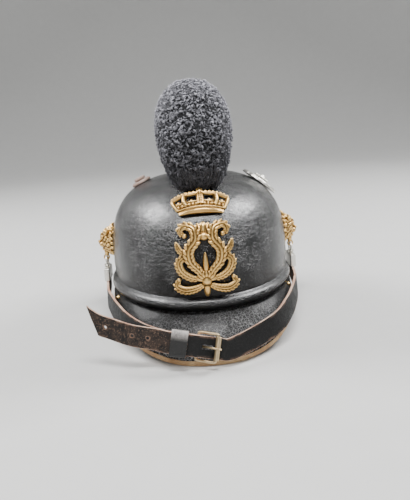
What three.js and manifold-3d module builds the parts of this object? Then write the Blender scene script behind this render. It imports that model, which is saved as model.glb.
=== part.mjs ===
// A crested leather helmet at its real size: millimetres, +Z up, the front facing -Y.
// It stands on the rims of its visor and neck guard, with the chin strap buckled across the visor.
import * as THREE from "three";
import { mergeVertices } from "three/addons/utils/BufferGeometryUtils.js";
import Module from "manifold-3d";

const wasm = await Module();
wasm.setup();

// Driving dimensions. Heights start at the middle of the skull's bead; angles, in degrees, at the front.
const GAP = 0.3; // clearance between pieces that touch
const FLOOR = -43;
const SKULL = {
  halfWidth: 88,
  halfLength: 107,
  domeHeight: 104,
  shoulder: 20, // height of the widest level
  bulge: 1.8, // how far the widest level stands out past the wall at the bead
  squareness: 2.9, // power of the dome's rounded profile
  wall: 2.7,
  beadRadius: 5.6,
  skirt: 9.5, // how far the wall runs below the bead
  segments: 40,
  domeRows: 8,
};
const VISOR = {
  facing: 0,
  span: 80,
  reach: 33, // how far the rim stands out from the skull, at the middle and at the ends
  endReach: 4,
  reachSweep: 1.9, // power that draws the rim in towards its ends
  footing: 1, // how far the middle of the rim is trimmed flat by the floor
  endHeight: -14,
  heightSweep: 1.3, // power that draws the rim up towards its ends
  edge: 4.6, // height of the cut rim
  flat: 1, // width of the rim's foot
  belly: 1.5,
  steps: 30,
};
const GUARD = {
  facing: 180,
  span: 88,
  reach: 22,
  endReach: 4,
  reachSweep: 1.2,
  footing: 10,
  endHeight: -15,
  heightSweep: 1.2,
  edge: 2.4,
  flat: 2.2,
  belly: 1,
  steps: 30,
};
const CREST = {
  centre: 14, // height of the point that its sections fan out from
  rootRadius: 70, // inside the dome, where the sections start
  egg: 0.25, // how much wider the sections are above their middle than below
  sectionSteps: 28,
  lengthSteps: 30,
  lockRows: 10,
  locksRound: 7,
  lockDepth: 3,
};
// Sections of the crest from its front tip to its tail: the fan's angle above the front, the radius of the
// crest's ridge from the fan's centre, and the half width at the section's fullest level.
const CREST_SECTIONS = [
  { angle: 49.5, ridge: 118, halfWidth: 14 },
  { angle: 51, ridge: 147, halfWidth: 27 },
  { angle: 57, ridge: 172, halfWidth: 33 },
  { angle: 68, ridge: 185, halfWidth: 36 },
  { angle: 84, ridge: 185, halfWidth: 36 },
  { angle: 106, ridge: 178, halfWidth: 35 },
  { angle: 130, ridge: 163, halfWidth: 32 },
  { angle: 152, ridge: 143, halfWidth: 26 },
  { angle: 168, ridge: 112, halfWidth: 13 },
];
const STRAP = { width: 18, thickness: 2.6, lean: 20 };
// The strap's way from a side clip to the front. On the viewer's right it runs higher by the rise.
const STRAP_WAY = [
  { angle: 89.5, out: 11, height: -13.5, rise: 0 },
  { angle: 80, out: 10.8, height: -16, rise: 1.5 },
  { angle: 68, out: 11.2, height: -15, rise: 2.8 },
  { angle: 56, out: 14, height: -16, rise: 3.2 },
  { angle: 43, out: 20, height: -17.5, rise: 2.6 },
  { angle: 30, out: 27, height: -19.5, rise: 0 },
];
// The free tail beyond the keeper, which stands off to the viewer's left.
const TAIL_WAY = [
  { angle: -20, out: 40.5, height: -16.5 },
  { angle: -28, out: 48, height: -12 },
  { angle: -37, out: 55, height: -6 },
  { angle: -42.5, out: 64, height: -2.5 },
];
const TAIL = { slant: 0.8, holes: [19, 44, 57], holeRadius: 1.5 }; // holes measured back from the tip
const BUCKLE = {
  angle: -2,
  out: 34,
  height: -25.5,
  roll: 11,
  lift: 5,
  wire: 1.3,
  halfLength: 9,
  halfHeight: 11.6,
};
const ROLLER = { outer: 2.4, length: 19.5 };
const KEEPER = { along: -24, length: 14, sheet: 1.4, play: 0.7 };
const PRONG = { wire: 1.1, slot: 4 };
const BOSS = { angle: 94, height: 38, halfWidth: 14.5, halfHeight: 17, tufts: 9 };
// Lumps of a lion's head; those with a side stand on both sides of the face.
const LION = [
  { name: "face", half: [9, 10.5, 9], side: 0, up: 0.5, out: 6, sides: 8, rows: 6 },
  { name: "muzzle", half: [5.6, 4.8, 6], side: 0, up: -4, out: 12, sides: 7, rows: 5 },
  { name: "nose", half: [2.6, 2, 2], side: 0, up: -1.8, out: 17, sides: 5, rows: 4 },
  { name: "chin", half: [4.4, 3, 4.4], side: 0, up: -9.4, out: 10, sides: 6, rows: 4 },
  { name: "brow", half: [3.6, 2.2, 3], side: 4.2, up: 4.6, out: 12.6, sides: 6, rows: 4 },
  { name: "ear", half: [3.2, 3.6, 3], side: 8.6, up: 9, out: 7.6, sides: 5, rows: 4 },
];
const CLIP = { width: 22.2, height: 13, depth: 5.8, sheet: 1.1, out: 11 };
const LINK = { radius: 2.6, wire: 0.9, ringRadius: 4.6, ringWire: 1.1 };
const CROWN = { halfWidth: 19.5, flare: 1.2, height: 24, climb: 92, relief: 2.6, bend: 64 };
const EMBLEM = { climb: 41, relief: 2.2 };
// Scrolls of the emblem's right half: the fullest radius, and where each runs across and up from its middle.
const SCROLLS = [
  {
    full: 3.5,
    steps: 13,
    across: [2, 5, 12, 13, 7, 9, 17, 20, 16],
    up: [-19, -10, -1, 9, 18, 27, 29, 24, 21],
  },
  { full: 2.8, steps: 8, across: [3, 12, 20, 22, 17, 14], up: [-16, -15, -9, -1, 3, -1] },
  { full: 3, steps: 8, across: [2, 10, 19, 25, 23], up: [-21, -25, -26, -22, -17] },
  { full: 2.4, steps: 4, across: [12.5, 20, 23.5], up: [5, 8, 15] },
  { full: 2.2, steps: 4, across: [6, 3, 4.5], up: [19, 25, 31] },
];
// Buds on the emblem's middle stem, from the lowest up.
const EMBLEM_BUDS = [
  { half: [3, 7.5, 3], up: -26, out: 0, sides: 6 },
  { half: [4.4, 5, 4], up: -18, out: 0.5, sides: 7 },
  { half: [2.4, 11, 2.4], up: -4, out: 0, sides: 6 },
  { half: [5, 3.6, 3.4], up: 20, out: 0.4, sides: 7 },
  { half: [3, 5.6, 2.8], up: 27.5, out: 0, sides: 6 },
];
const COCKADE = { angle: 98, climb: 96, radius: 21, sheet: 1.5, flutes: 16, crown: 150 };
const ROSETTE = { angle: -98, climb: 114, radius: 10.5, button: 6.2, thickness: 3 };
const STUD = { angle: 66, along: 0.35, radius: 2.6 };

// Shared materials, with the object's own colours.
function finish(color, roughness, metalness) {
  return new THREE.MeshStandardMaterial({ color, roughness, metalness });
}
const BLACK_LEATHER = finish(0x17181a, 0.35, 0);
const STRAP_LEATHER = finish(0x241f1d, 0.6, 0);
const WOOL = finish(0x2c2f3a, 1, 0);
const BRASS = finish(0xb98d4a, 0.4, 1);
const WHITE_METAL = finish(0xc9c7bd, 0.3, 1);
const PALE_LEATHER = finish(0xb99a8c, 0.7, 0);

// Moves every vertex of a closed geometry by a function.
function shaped(geometry, move) {
  const position = geometry.getAttribute("position");
  const point = new THREE.Vector3();
  for (let i = 0; i < position.count; i += 1) {
    const moved = move(point.fromBufferAttribute(position, i).clone());
    position.setXYZ(i, moved.x, moved.y, moved.z);
  }
  return geometry;
}

// A closed geometry as a solid for joins and cuts, and back again.
function solidOf(geometry) {
  const bare = geometry.clone();
  bare.deleteAttribute("normal");
  bare.deleteAttribute("uv");
  const merged = mergeVertices(bare, 1e-3);
  return new wasm.Manifold(
    new wasm.Mesh({
      numProp: 3,
      vertProperties: new Float32Array(merged.attributes.position.array),
      triVerts: new Uint32Array(merged.index.array),
    }),
  );
}

function geometryOf(solid) {
  const mesh = solid.getMesh();
  const geometry = new THREE.BufferGeometry();
  geometry.setAttribute("position", new THREE.BufferAttribute(mesh.vertProperties, 3));
  geometry.setIndex(new THREE.BufferAttribute(mesh.triVerts, 1));
  geometry.computeVertexNormals();
  return geometry;
}

function fused(geometries) {
  return geometries.map(solidOf).reduce((whole, piece) => whole.add(piece));
}

const radians = THREE.MathUtils.degToRad;
const lerp = THREE.MathUtils.lerp;
const at = (x, y, z) => new THREE.Vector3(x, y, z);

// Skull: one leather dome with a rolled bead, turned as a lathe and drawn out to the oval of a head.
const meanRadius = (SKULL.halfWidth + SKULL.halfLength) / 2;

// The dome's profile, from the shoulder at share 0 to the top at share 1.
function domeProfile(share, inset) {
  const angle = (share * Math.PI) / 2;
  const power = 2 / SKULL.squareness;
  const radius = (meanRadius + SKULL.bulge - inset) * Math.max(0, Math.cos(angle)) ** power;
  const height = SKULL.shoulder + (SKULL.domeHeight - SKULL.shoulder - inset) * Math.sin(angle) ** power;
  return new THREE.Vector2(share === 1 ? 0 : radius, height);
}

function domeRows(inset) {
  const rows = [];
  for (let row = 0; row <= SKULL.domeRows; row += 1) rows.push(domeProfile(row / SKULL.domeRows, inset));
  return rows;
}

function oval(profile) {
  return new THREE.LatheGeometry(profile, SKULL.segments)
    .rotateX(Math.PI / 2)
    .scale(SKULL.halfWidth / meanRadius, SKULL.halfLength / meanRadius, 1);
}

function skullGeometry() {
  const bead = [];
  for (let turn = 66; turn >= -90; turn -= 26) {
    const angle = radians(turn);
    const radius = meanRadius + SKULL.beadRadius * Math.cos(angle);
    bead.push(new THREE.Vector2(radius, SKULL.beadRadius * Math.sin(angle)));
  }
  const crease = new THREE.Vector2(meanRadius + 0.2, SKULL.beadRadius + 0.6);
  const foot = [
    new THREE.Vector2(meanRadius, -SKULL.skirt),
    new THREE.Vector2(meanRadius - SKULL.wall, -SKULL.skirt),
  ];
  const outside = domeRows(0).reverse();
  const profile = [...outside, crease, ...bead, ...foot, ...domeRows(SKULL.wall)];
  return oval(profile.reverse());
}

// The skull filled and grown by the clearance, which cuts the backs of the pieces that sit on it.
const skullBlank = solidOf(
  oval([
    new THREE.Vector2(0, -SKULL.skirt),
    new THREE.Vector2(meanRadius + GAP, -SKULL.skirt),
    new THREE.Vector2(meanRadius + GAP, SKULL.beadRadius + 0.6),
    ...domeRows(-GAP),
  ]),
);

// A point around the skull at an angle, a distance out from its wall along the oval's normal, and a height.
function around(angle, out, height) {
  const turn = radians(angle);
  const normal = new THREE.Vector2(
    Math.sin(turn) / SKULL.halfWidth,
    -Math.cos(turn) / SKULL.halfLength,
  ).normalize();
  return at(
    SKULL.halfWidth * Math.sin(turn) + normal.x * out,
    -SKULL.halfLength * Math.cos(turn) + normal.y * out,
    height,
  );
}

// The profile's point at a climb along the front of the dome from the bead.
function profileAt(climb) {
  const fine = 240;
  const stretch = SKULL.halfLength / meanRadius;
  let left = climb;
  let here = new THREE.Vector2(meanRadius, 0);
  for (let step = 0; step <= fine; step += 1) {
    const next = domeProfile(step / fine, 0);
    const length = Math.hypot((next.x - here.x) * stretch, next.y - here.y);
    if (length >= left) return here.lerp(next, left / length);
    left -= length;
    here = next;
  }
  return here;
}

// The dome's outward direction near a point, from the slope of its oval and its profile.
function domeNormal(point) {
  const wide = SKULL.halfWidth * (1 + SKULL.bulge / meanRadius);
  const long = SKULL.halfLength * (1 + SKULL.bulge / meanRadius);
  const rise = SKULL.domeHeight - SKULL.shoulder;
  const plan = Math.hypot(point.x / wide, point.y / long);
  const spread = plan ** (SKULL.squareness - 2);
  const climb = Math.max(0, point.z - SKULL.shoulder) / rise;
  return at(
    (spread * point.x) / wide ** 2,
    (spread * point.y) / long ** 2,
    climb ** (SKULL.squareness - 1) / rise,
  ).normalize();
}

// A point of a badge bent on to the front of the dome: across, up along the surface, and out of it.
function onFront(across, climb, out) {
  const profile = profileAt(climb);
  const wide = (profile.x * SKULL.halfWidth) / meanRadius;
  const long = (profile.x * SKULL.halfLength) / meanRadius;
  const point = at(across, -long * Math.sqrt(1 - (across / wide) ** 2), profile.y);
  return point.addScaledVector(domeNormal(point), out);
}

// A frame on the dome at an angle and a climb: +X level along the surface, +Y up it, +Z out of it.
function domeFrame(angle, climb) {
  const profile = profileAt(climb);
  const turn = radians(angle);
  const origin = at(
    ((profile.x * SKULL.halfWidth) / meanRadius) * Math.sin(turn),
    ((-profile.x * SKULL.halfLength) / meanRadius) * Math.cos(turn),
    profile.y,
  );
  return frameAt(origin, domeNormal(origin), at(0, 0, 1));
}

// A frame with +Z along a face's outward direction and +Y as near as can be to a given direction.
function frameAt(origin, outward, upward) {
  const level = upward.clone().cross(outward).normalize();
  const up = outward.clone().cross(level);
  return new THREE.Matrix4().makeBasis(level, up, outward).setPosition(origin);
}

// Visor and neck guard: a bent plate from under the bead out to a cut rim.
function rimOf(brim, angle) {
  const share = Math.cos(radians((angle / brim.span) * 86));
  return {
    reach: lerp(brim.endReach, brim.reach, share ** brim.reachSweep),
    height: Math.max(FLOOR, lerp(brim.endHeight, FLOOR - brim.footing, share ** brim.heightSweep)),
  };
}

// A point of a brim's plate: across it, from the skull at along 0 to the rim at 1, on its top or underside.
function brimPoint(brim, p) {
  const root = { top: -SKULL.beadRadius - 0.9, under: -SKULL.skirt, out: 1.2 };
  const angle = 2 * p.x * brim.span;
  const along = 0.5 - p.y;
  const rim = rimOf(brim, angle);
  const swell = brim.belly * Math.sin(Math.PI * along);
  const isTop = p.z > 0.25;
  const isUnder = p.z < -0.25;
  const innerOut = isTop ? root.out : GAP;
  const innerHeight = isTop ? root.top : root.under;
  const outerOut = isUnder ? rim.reach - brim.flat : rim.reach;
  const outerHeight = isTop ? rim.height + brim.edge : rim.height;
  return around(
    brim.facing + angle,
    lerp(innerOut, outerOut, along) + swell,
    lerp(innerHeight, outerHeight, along) + swell,
  );
}

function brimGeometry(brim) {
  const plate = new THREE.BoxGeometry(1, 1, 1, brim.steps, 3, 2);
  return shaped(plate, (p) => brimPoint(brim, p));
}

// Crest: a woollen roll along the dome, its surface in staggered locks and its base cut to the dome.
function crestSection(share) {
  const place = share * (CREST_SECTIONS.length - 1);
  const row = Math.min(CREST_SECTIONS.length - 2, Math.floor(place));
  const ease = place - row;
  const from = CREST_SECTIONS[row];
  const to = CREST_SECTIONS[row + 1];
  return {
    angle: lerp(from.angle, to.angle, ease),
    ridge: lerp(from.ridge, to.ridge, ease),
    halfWidth: lerp(from.halfWidth, to.halfWidth, ease),
  };
}

function crestGeometry() {
  const ball = new THREE.SphereGeometry(1, CREST.sectionSteps, CREST.lengthSteps);
  return shaped(ball, (p) => {
    const share = Math.acos(THREE.MathUtils.clamp(p.y, -1, 1)) / Math.PI;
    const end = Math.max(0, Math.sin(share * Math.PI)) ** 0.4;
    const isTip = end < 1e-4;
    const round = isTip ? 0 : Math.atan2(p.x, p.z);
    const section = crestSection(share);
    const stagger = Math.floor(share * CREST.lockRows) % 2 ? Math.PI : 0;
    const rowSwell = Math.sin(share * CREST.lockRows * Math.PI) ** 2;
    const lock = rowSwell * Math.cos(round * CREST.locksRound + stagger);
    const swell = 1 + (CREST.lockDepth / section.halfWidth) * lock * end;
    const egg = -Math.sin(round) * (1 + CREST.egg * Math.cos(round));
    const side = isTip ? 0 : section.halfWidth * egg * end * swell;
    const rise = isTip ? 0.5 : 0.5 + 0.5 * Math.cos(round) * end * swell;
    const radius = lerp(CREST.rootRadius, section.ridge, rise);
    const angle = radians(section.angle);
    return at(side, -radius * Math.cos(angle), CREST.centre + radius * Math.sin(angle));
  });
}

// Small shapes shared by the metalwork.
function lump(half, centre, sides, rows) {
  return new THREE.SphereGeometry(1, sides, rows).scale(...half).translate(...centre);
}

// A round rod along a curve, its radius given at each share of its length.
function rod(curve, radiusAt, steps, sides = 6) {
  const stick = new THREE.CylinderGeometry(1, 1, 1, sides, steps);
  const frames = curve.computeFrenetFrames(steps, false);
  return shaped(stick, (p) => {
    const step = Math.round((p.y + 0.5) * steps);
    const radius = radiusAt(step / steps);
    return curve
      .getPointAt(step / steps)
      .addScaledVector(frames.normals[step], p.z * radius)
      .addScaledVector(frames.binormals[step], p.x * radius);
  });
}

function smoothCurve(points) {
  return new THREE.CatmullRomCurve3(points.map(([x, y, z]) => at(x, y, z)));
}

// A closed loop of round wire with rounded-off corners, lying across Z.
function wireLoop(halfX, halfY, wire, squareness, steps) {
  const power = 2 / squareness;
  const corner = (share) => (Math.abs(share) < 1e-6 ? 0 : Math.sign(share) * Math.abs(share) ** power);
  return shaped(new THREE.TorusGeometry(2, 1, 6, steps), (p) => {
    const turn = Math.atan2(p.y, p.x);
    const spread = Math.hypot(p.x, p.y) - 2;
    const x = halfX * corner(Math.cos(turn));
    const y = halfY * corner(Math.sin(turn));
    const scale = 1 + (spread * wire) / Math.hypot(x, y);
    return at(x * scale, y * scale, p.z * wire);
  });
}

// Crown: a pierced casting with a banded circlet, four arches with pearls, a middle stem and a cross.
function crownSolid() {
  const half = CROWN.halfWidth;
  const slab = (width, height, depth) => new THREE.BoxGeometry(2 * width, height, depth, 8, 1, 1);
  const pieces = [
    slab(half, 6, CROWN.relief).translate(0, 3, CROWN.relief / 2),
    slab(half + 0.8, 1.6, CROWN.relief + 1.2).translate(0, 0.8, CROWN.relief / 2 + 0.6),
    lump([2.2, 8.5, 1.8], [0, 12, 1.8], 6, 5),
    lump([4, 3, 2.4], [0, 20.5, 2.4], 7, 5),
    new THREE.BoxGeometry(1.8, 7, 2).translate(0, 25.5, 2),
    new THREE.BoxGeometry(5.4, 1.8, 2.4).translate(0, 26, 2),
  ];
  for (const place of [-1, -0.52, 0.52, 1]) {
    const foot = place * half * 0.94;
    const bow = place * half * CROWN.flare;
    const arch = smoothCurve([
      [foot, 4, 1.6],
      [bow, 12, 2.2],
      [bow * 0.8, 17, 2.6],
      [place * 4, 20.5, 2.6],
    ]);
    pieces.push(rod(arch, () => 1.8, 6, 5));
    pieces.push(lump([2.2, 2.2, 1.8], [bow, 13.5, 3.4], 5, 4));
  }
  return fused(pieces);
}

// Seats a badge made flat: its X bends round the dome while its Y keeps to the tangent at its middle.
function crownGeometry() {
  const frame = domeFrame(0, CROWN.climb);
  const { bend } = CROWN;
  const flat = geometryOf(crownSolid().translate(0, -CROWN.height / 2, 0));
  return shaped(flat, (p) => {
    const turn = p.x / bend;
    const reach = bend + p.z;
    return at(reach * Math.sin(turn), p.y, reach * Math.cos(turn) - bend).applyMatrix4(frame);
  });
}

// Emblem: a cast ornament of acanthus scrolls, the same on both sides of a middle stem.
function emblemSolid() {
  const z = EMBLEM.relief;
  const swell = (full, from, to) => (share) =>
    full * Math.max(0.3, Math.sin(Math.PI * lerp(from, to, share)) ** 0.8);
  const pieces = [];
  for (const { full, steps, across, up } of SCROLLS) {
    for (const side of [1, -1]) {
      const curve = smoothCurve(across.map((x, row) => [side * x, up[row], z]));
      pieces.push(rod(curve, swell(full, 0.12, 0.92), steps, 6));
    }
  }
  for (const { half, up, out, sides } of EMBLEM_BUDS) {
    pieces.push(lump(half, [0, up, z + out], sides, 5));
  }
  return fused(pieces);
}

function emblemGeometry() {
  return shaped(geometryOf(emblemSolid()), (p) =>
    onFront(p.x, EMBLEM.climb + p.y, Math.max(GAP, p.z)),
  );
}

// Side frames: +X level, +Y up, +Z out from the wall at the bosses.
function sideFrame(side) {
  const origin = around(side * BOSS.angle, 0, 0);
  const outward = around(side * BOSS.angle, 1, 0).sub(origin);
  return frameAt(origin, outward, at(0, 0, 1));
}

const linkHeights = (() => {
  const lug = BOSS.height - BOSS.halfHeight - 1.5;
  const ring = lug - LINK.ringRadius;
  return { lug, ring, bail: ring - LINK.ringRadius };
})();

// A wire eye standing across the level direction, for a ring to hang in.
function eye(height) {
  const loop = new THREE.TorusGeometry(LINK.radius, LINK.wire, 5, 10).rotateY(Math.PI / 2);
  return loop.translate(0, height, CLIP.out);
}

// Boss: a cast lion's head in a mane of tufts, with an eye under the chin.
function maneGeometry() {
  const { halfWidth, halfHeight, tufts } = BOSS;
  const disc = new THREE.SphereGeometry(1, 4 * tufts, 6).rotateX(Math.PI / 2);
  return shaped(disc, (p) => {
    const reach = Math.hypot(p.x, p.y);
    const tuft = 1 + 0.09 * reach ** 2 * Math.cos(Math.atan2(p.x, p.y) * tufts);
    return at(p.x * halfWidth * tuft, p.y * halfHeight * tuft, 8.5 * p.z + 0.5);
  });
}

function bossGeometry(side) {
  const head = [maneGeometry()];
  for (const { half, side: apart, up, out, sides, rows } of LION) {
    for (const cheek of apart > 0 ? [-1, 1] : [1]) {
      head.push(lump(half, [cheek * apart, up, out], sides, rows));
    }
  }
  const placed = head.map((piece) => piece.translate(0, BOSS.height, 0));
  placed.push(eye(linkHeights.lug));
  placed.push(lump([2, 4.6, 2.6], [0, linkHeights.lug + 5.6, CLIP.out - 0.6], 6, 4));
  const whole = placed.map((piece) => piece.applyMatrix4(sideFrame(side)));
  return geometryOf(fused(whole).subtract(skullBlank));
}

function ringGeometry(side) {
  const ring = new THREE.TorusGeometry(LINK.ringRadius, LINK.ringWire, 5, 12);
  return ring.translate(0, linkHeights.ring, CLIP.out).applyMatrix4(sideFrame(side));
}

// Clip: a white-metal sleeve round the end of the strap, with an eye on top.
const clipTop = linkHeights.bail - 1.2;

function clipGeometry(side) {
  const sleeve = new THREE.BoxGeometry(CLIP.width, CLIP.height, CLIP.depth);
  const inside = new THREE.BoxGeometry(
    CLIP.width - 2 * CLIP.sheet,
    CLIP.height,
    CLIP.depth - 2 * CLIP.sheet,
  ).translate(0, -2 * CLIP.sheet, 0);
  const middle = clipTop - CLIP.height / 2;
  const shell = solidOf(sleeve.translate(0, middle, CLIP.out));
  const hollow = solidOf(inside.translate(0, middle, CLIP.out));
  const whole = shell.subtract(hollow).add(solidOf(eye(linkHeights.bail)));
  return geometryOf(whole).applyMatrix4(sideFrame(side));
}

// Buckle frame: +X along the strap, +Y across it, +Z out from the helmet.
const buckleFrame = (() => {
  const origin = around(BUCKLE.angle, BUCKLE.out, BUCKLE.height);
  const outward = around(BUCKLE.angle, BUCKLE.out + 1, BUCKLE.height).sub(origin);
  const lean = radians(STRAP.lean);
  const face = outward.clone().multiplyScalar(Math.cos(lean)).add(at(0, 0, Math.sin(lean)));
  const upward = at(0, 0, Math.cos(lean)).addScaledVector(outward, -Math.sin(lean));
  const roll = new THREE.Matrix4().makeRotationZ(radians(-BUCKLE.roll));
  return frameAt(origin, face, upward).multiply(roll);
})();

const inBuckle = (x, z) => at(x, 0, z).applyMatrix4(buckleFrame);

// A frame on a strap's curve: +X along it, +Y across it, +Z out of its face, which leans back at the front.
function strapFrame(curve, share) {
  const centre = curve.getPointAt(share);
  const along = curve.getTangentAt(share);
  const outward = at(centre.x / SKULL.halfWidth ** 2, centre.y / SKULL.halfLength ** 2, 0).normalize();
  const lean = radians(STRAP.lean) * Math.max(0, -outward.y);
  const face = outward.multiplyScalar(Math.cos(lean)).add(at(0, 0, Math.sin(lean)));
  face.addScaledVector(along, -face.dot(along)).normalize();
  return new THREE.Matrix4().makeBasis(along, face.clone().cross(along), face).setPosition(centre);
}

// A flat strap along a curve, with its end cut on a slant.
function ribbon(curve, steps, slant) {
  const flat = new THREE.BoxGeometry(1, STRAP.width, STRAP.thickness, steps, 1, 1);
  const length = curve.getLength();
  return shaped(flat, (p) => {
    const share = p.x + 0.5;
    const cut = (-slant * (p.y + STRAP.width / 2) * share ** 16) / length;
    return at(0, p.y, p.z).applyMatrix4(strapFrame(curve, share + cut));
  });
}

// The strap's way on one side, starting inside its clip.
function sideWay(side) {
  const frame = sideFrame(side);
  const inClip = [clipTop - 4, clipTop - CLIP.height, clipTop - CLIP.height - 5];
  const start = inClip.map((height) => at(0, height, CLIP.out).applyMatrix4(frame));
  const rise = (row) => (side > 0 ? row.rise : 0);
  const rows = STRAP_WAY.map((row) => ({ ...row, height: row.height + rise(row) }));
  return [...start, ...wayPoints(rows, side)];
}

const wayPoints = (rows, side) => rows.map((row) => around(side * row.angle, row.out, row.height));
const layer = STRAP.thickness + GAP;

// The part of the strap from the viewer's left: it turns round the buckle's bar and lies back on itself.
const foldInner = BUCKLE.wire + GAP;

function foldGeometry() {
  const bar = -BUCKLE.halfLength;
  const { thickness } = STRAP;
  const outer = foldInner + thickness;
  const arm = { join: -16, inner: GAP / 2, end: -31 };
  const shape = new THREE.Shape();
  shape.moveTo(arm.end, arm.inner);
  shape.lineTo(arm.join, arm.inner);
  shape.lineTo(bar, foldInner);
  shape.absarc(bar, 0, foldInner, Math.PI / 2, -Math.PI / 2, true);
  shape.lineTo(arm.join, -arm.inner);
  shape.lineTo(arm.end, -arm.inner);
  shape.lineTo(arm.end, -arm.inner - thickness);
  shape.lineTo(arm.join, -arm.inner - thickness);
  shape.lineTo(bar, -outer);
  shape.absarc(bar, 0, outer, -Math.PI / 2, Math.PI / 2, false);
  shape.lineTo(arm.join, arm.inner + thickness);
  shape.lineTo(arm.end, arm.inner + thickness);
  const fold = new THREE.ExtrudeGeometry(shape, {
    depth: STRAP.width,
    bevelEnabled: false,
    curveSegments: 5,
  });
  const stand = new THREE.Matrix4().makeBasis(at(1, 0, 0), at(0, 0, 1), at(0, -1, 0));
  return fold.applyMatrix4(stand).translate(0, STRAP.width / 2, 0).applyMatrix4(buckleFrame);
}

function strapLeftGeometry() {
  const way = sideWay(-1);
  way.push(inBuckle(-34, -layer / 2), inBuckle(-30, -layer / 2));
  const curve = new THREE.CatmullRomCurve3(way);
  const slot = new THREE.BoxGeometry(13, PRONG.slot, 14).translate(-BUCKLE.halfLength, 0, 0);
  const whole = solidOf(ribbon(curve, 32, 0)).add(solidOf(foldGeometry()));
  return geometryOf(whole.subtract(solidOf(slot.applyMatrix4(buckleFrame))));
}

// The part from the viewer's right: under the roller, over the bar, through the keeper to a free tail.
function strapRightGeometry() {
  const over = foldInner + STRAP.thickness + layer / 2 + GAP / 2;
  const way = sideWay(1);
  way.push(
    inBuckle(17, 0.2),
    inBuckle(BUCKLE.halfLength + 1, 0),
    inBuckle(0, 3),
    inBuckle(-BUCKLE.halfLength, over + 0.4),
    inBuckle(-17, layer * 1.5 + 0.9),
    inBuckle(KEEPER.along, layer * 1.5 + 0.3),
    inBuckle(-34, layer * 1.5 + 0.4),
  );
  way.push(...wayPoints(TAIL_WAY, 1));
  const curve = new THREE.CatmullRomCurve3(way);
  const cuts = [new THREE.BoxGeometry(9, PRONG.slot, 12).translate(0, 0, 3).applyMatrix4(buckleFrame)];
  for (const distance of TAIL.holes) {
    const drill = new THREE.CylinderGeometry(TAIL.holeRadius, TAIL.holeRadius, 8, 8).rotateX(Math.PI / 2);
    cuts.push(drill.applyMatrix4(strapFrame(curve, 1 - distance / curve.getLength())));
  }
  return geometryOf(solidOf(ribbon(curve, 52, TAIL.slant)).subtract(fused(cuts)));
}

// Buckle: a wire frame, a loose roller on its far bar, and a prong hung on its near bar.
function buckleTilt(geometry) {
  const tilt = -Math.asin(BUCKLE.lift / (2 * BUCKLE.halfLength));
  return geometry
    .translate(BUCKLE.halfLength, 0, 0)
    .rotateY(tilt)
    .translate(-BUCKLE.halfLength, 0, 0)
    .applyMatrix4(buckleFrame);
}

function rollerGeometry() {
  const half = ROLLER.length / 2;
  const inner = BUCKLE.wire + GAP;
  const profile = [
    [inner, -half],
    [ROLLER.outer, -half],
    [ROLLER.outer, half],
    [inner, half],
    [inner, -half],
  ].map(([x, y]) => new THREE.Vector2(x, y));
  return new THREE.LatheGeometry(profile, 12).translate(BUCKLE.halfLength, 0, 0);
}

function prongGeometry() {
  const wrap = new THREE.TorusGeometry(BUCKLE.wire + GAP + 0.9, 0.9, 5, 10).rotateX(Math.PI / 2);
  const rest = BUCKLE.lift + ROLLER.outer + PRONG.wire + 3 * GAP;
  const way = smoothCurve([
    [-BUCKLE.halfLength + 2.5, 0, 0.6],
    [0, 0, 3.4],
    [BUCKLE.halfLength, 0, rest],
    [BUCKLE.halfLength + 2.6, 0, rest + 0.3],
  ]);
  const pin = rod(way, (share) => PRONG.wire * (1 - 0.25 * share), 6, 5);
  const whole = solidOf(wrap.translate(-BUCKLE.halfLength, 0, 0)).add(solidOf(pin));
  return geometryOf(whole).applyMatrix4(buckleFrame);
}

// Keeper: a leather loop round both straps beside the buckle.
function keeperGeometry() {
  const half = STRAP.width / 2 + KEEPER.play;
  const low = -layer / 2 - STRAP.thickness / 2 - KEEPER.play;
  const high = layer * 1.5 + STRAP.thickness / 2 + KEEPER.play + 1;
  const outline = (grow) => [
    new THREE.Vector2(-half - grow, low - grow),
    new THREE.Vector2(half + grow, low - grow),
    new THREE.Vector2(half + grow, high + grow),
    new THREE.Vector2(-half - grow, high + grow),
  ];
  const shape = new THREE.Shape(outline(KEEPER.sheet));
  shape.holes.push(new THREE.Path(outline(0)));
  const loop = new THREE.ExtrudeGeometry(shape, { depth: KEEPER.length, bevelEnabled: false, steps: 3 });
  const turn = new THREE.Matrix4().makeBasis(at(0, 1, 0), at(0, 0, 1), at(1, 0, 0));
  loop.applyMatrix4(turn).translate(KEEPER.along - KEEPER.length / 2, 0, 0);
  return loop.applyMatrix4(buckleFrame);
}

// Cockade: a fluted disc, slightly domed, on a short neck, with a pearled boss in its middle.
function cockadeDisc() {
  const rows = [
    [0, -1],
    [0.3, -1],
    [0.34, 0],
    [1, 0],
    [1, 1],
    [0.86, 1.6],
    [0.5, 1.6],
    [0, 1.6],
  ].map(([reach, height]) => new THREE.Vector2(reach * COCKADE.radius, height * COCKADE.sheet));
  const disc = new THREE.LatheGeometry(rows, 2 * COCKADE.flutes).rotateX(Math.PI / 2);
  return shaped(disc, (p) => {
    const reach = Math.hypot(p.x, p.y);
    const flute = Math.cos(Math.atan2(p.y, p.x) * COCKADE.flutes);
    const share = reach / COCKADE.radius;
    const wave = share > 0.4 && p.z > 0.1 ? 0.5 * share * flute : 0;
    const spread = share > 0.95 ? 1 + 0.025 * flute : 1;
    return at(p.x * spread, p.y * spread, p.z + wave + 1.4 - reach ** 2 / (2 * COCKADE.crown));
  });
}

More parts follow.
